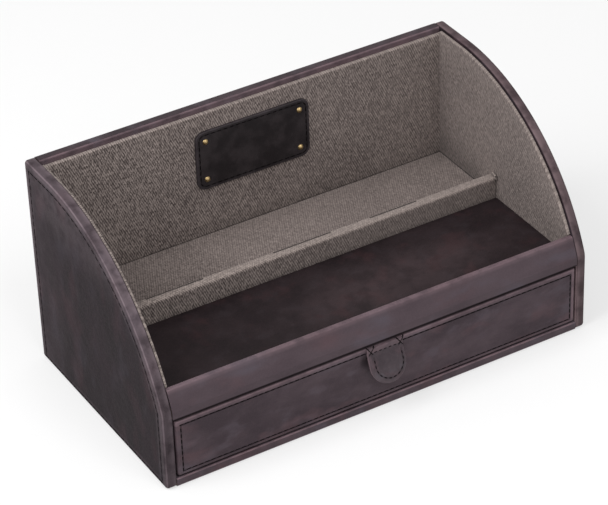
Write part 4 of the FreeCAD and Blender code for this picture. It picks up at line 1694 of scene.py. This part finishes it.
@dataclass(frozen=True)
class Studio:
    """Pale floor, soft lamps, white surroundings and the camera."""

    target: Vector = field(default_factory=lambda: Vector((0.0, 0.0, 0.08)))
    azimuth: float = -29.83
    elevation: float = 34.31
    roll: float = -2.17
    distance: float = 1.788
    shift_right: float = -4.0 * MM
    shift_up: float = -10.8 * MM
    focal_width: float = 2916.5 / 608
    sensor: float = 36.0
    floor_half: float = 9.0
    floor_drop: float = 0.3 * MM
    floor_share: float = 0.5
    floor_glow: float = 1.04
    sky: float = 0.55
    lamps: tuple[Lamp, ...] = (
        Lamp("left_lamp", (-1.7, -0.2, 0.9), 1.2, 9.0),
        Lamp("high_left_lamp", (-1.1, 0.0, 1.5), 0.9, 14.0),
        Lamp("high_front_lamp", (0.0, -1.2, 1.6), 0.9, 12.0),
    )

    def rays(self, tree: Tree) -> Socket:
        """A socket that is 1 for camera, glossy and transmission rays.

        Args:
            tree: The node tree of a material or a world.

        Returns:
            The socket.
        """
        path = tree.nodes.new("ShaderNodeLightPath")
        seen = path.outputs["Is Camera Ray"]
        for other in ("Is Glossy Ray", "Is Transmission Ray"):
            either = tree.nodes.new("ShaderNodeMath")
            either.operation = "MAXIMUM"
            tree.links.new(seen, either.inputs[0])
            tree.links.new(path.outputs[other], either.inputs[1])
            seen = either.outputs[0]
        return seen

    def show(
        self,
        tree: Tree,
        share: Socket,
        lit: bpy.types.Node,
        seen: bpy.types.Node,
    ) -> None:
        """Send a mix of two shaders to the output.

        Args:
            tree: The node tree of a material or a world.
            share: 0 for the first shader and 1 for the second.
            lit: The first shader, which lights the scene.
            seen: The second shader, which is looked at.
        """
        both = tree.nodes.new("ShaderNodeMixShader")
        output = next(n for n in tree.nodes if n.type.startswith("OUTPUT_"))
        for socket, source in zip(both.inputs, (share, lit.outputs[0], seen.outputs[0])):
            tree.links.new(source, socket)
        tree.links.new(both.outputs[0], output.inputs[0])

    def sheet(self) -> None:
        """Lay the floor, which glows a little to the camera and keeps the shadow."""
        deselect()
        place = (0, 0, -self.floor_drop)
        bpy.ops.mesh.primitive_plane_add(size=2 * self.floor_half, location=place)
        floor = bpy.context.object
        floor.name = "floor"
        shader = Shader("floor_paper", Specular_IOR_Level=0.0)
        grey, pale = (0.86, 0.86, 0.86), (0.88, 0.88, 0.88)
        shader.finish(shader.lay(grey, (shader.noise(300.0, 2.0), pale)), 0.9)
        glow = shader.node("Emission", inputs={"Color": WHITE, "Strength": self.floor_glow})
        links = {0: self.rays(shader.tree), 1: self.floor_share}
        share = shader.node("Math", {"operation": "MULTIPLY"}, links)
        self.show(shader.tree, share.outputs[0], shader.surface, glow)
        dress(floor, shader.material)

    def surroundings(self) -> None:
        """Light the scene evenly from all round, and show white behind it."""
        world = bpy.data.worlds.new("white_room")
        world.use_nodes = True
        bpy.context.scene.world = world
        tree = world.node_tree
        lit = next(n for n in tree.nodes if n.type == "BACKGROUND")
        seen = tree.nodes.new("ShaderNodeBackground")
        for sky, strength in ((lit, self.sky), (seen, 1.0)):
            sky.inputs["Color"].default_value = (*WHITE, 1.0)
            sky.inputs["Strength"].default_value = strength
        self.show(tree, self.rays(tree), lit, seen)

    def camera(self) -> None:
        """Set up the camera, turned a little about its own line of sight."""
        round_cosine, round_sine = slanted(self.azimuth)
        above_cosine, above_sine = slanted(self.elevation)
        level_back = Vector((round_sine, -round_cosine, 0)) * above_cosine
        back = level_back + UP * above_sine
        level = UP.cross(back).normalized()
        upright = back.cross(level)
        cosine, sine = slanted(self.roll)
        right = cosine * level + sine * upright
        up = cosine * upright - sine * level
        place = self.target + back * self.distance + right * self.shift_right + up * self.shift_up
        data = bpy.data.cameras.new("camera")
        data.sensor_width = self.sensor
        data.lens = self.focal_width * self.sensor
        camera = bpy.data.objects.new("camera", data)
        camera.matrix_world = turned(right, up, back, place)
        bpy.context.scene.collection.objects.link(camera)
        bpy.context.scene.camera = camera

    def build(self) -> None:
        """Set up floor, lamps, surroundings and camera."""
        self.sheet()
        self.surroundings()
        for lamp in self.lamps:
            lamp.light(self.target)
        self.camera()
        bpy.context.scene.view_settings.view_transform = "Standard"


def main() -> None:
    """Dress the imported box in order."""
    logging.basicConfig(level=logging.INFO, format="%(message)s")
    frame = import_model()
    case = Case(frame["nodes"])
    thread = Thread("seam_thread").build()
    Studio().build()
    Shell(case, thread).build()
    Compartments(case).build()
    Plaque(case, thread).build()
    Drawer(case, thread).build()
    PullTab(case, thread).build()


if __name__ == "__main__":
    main()
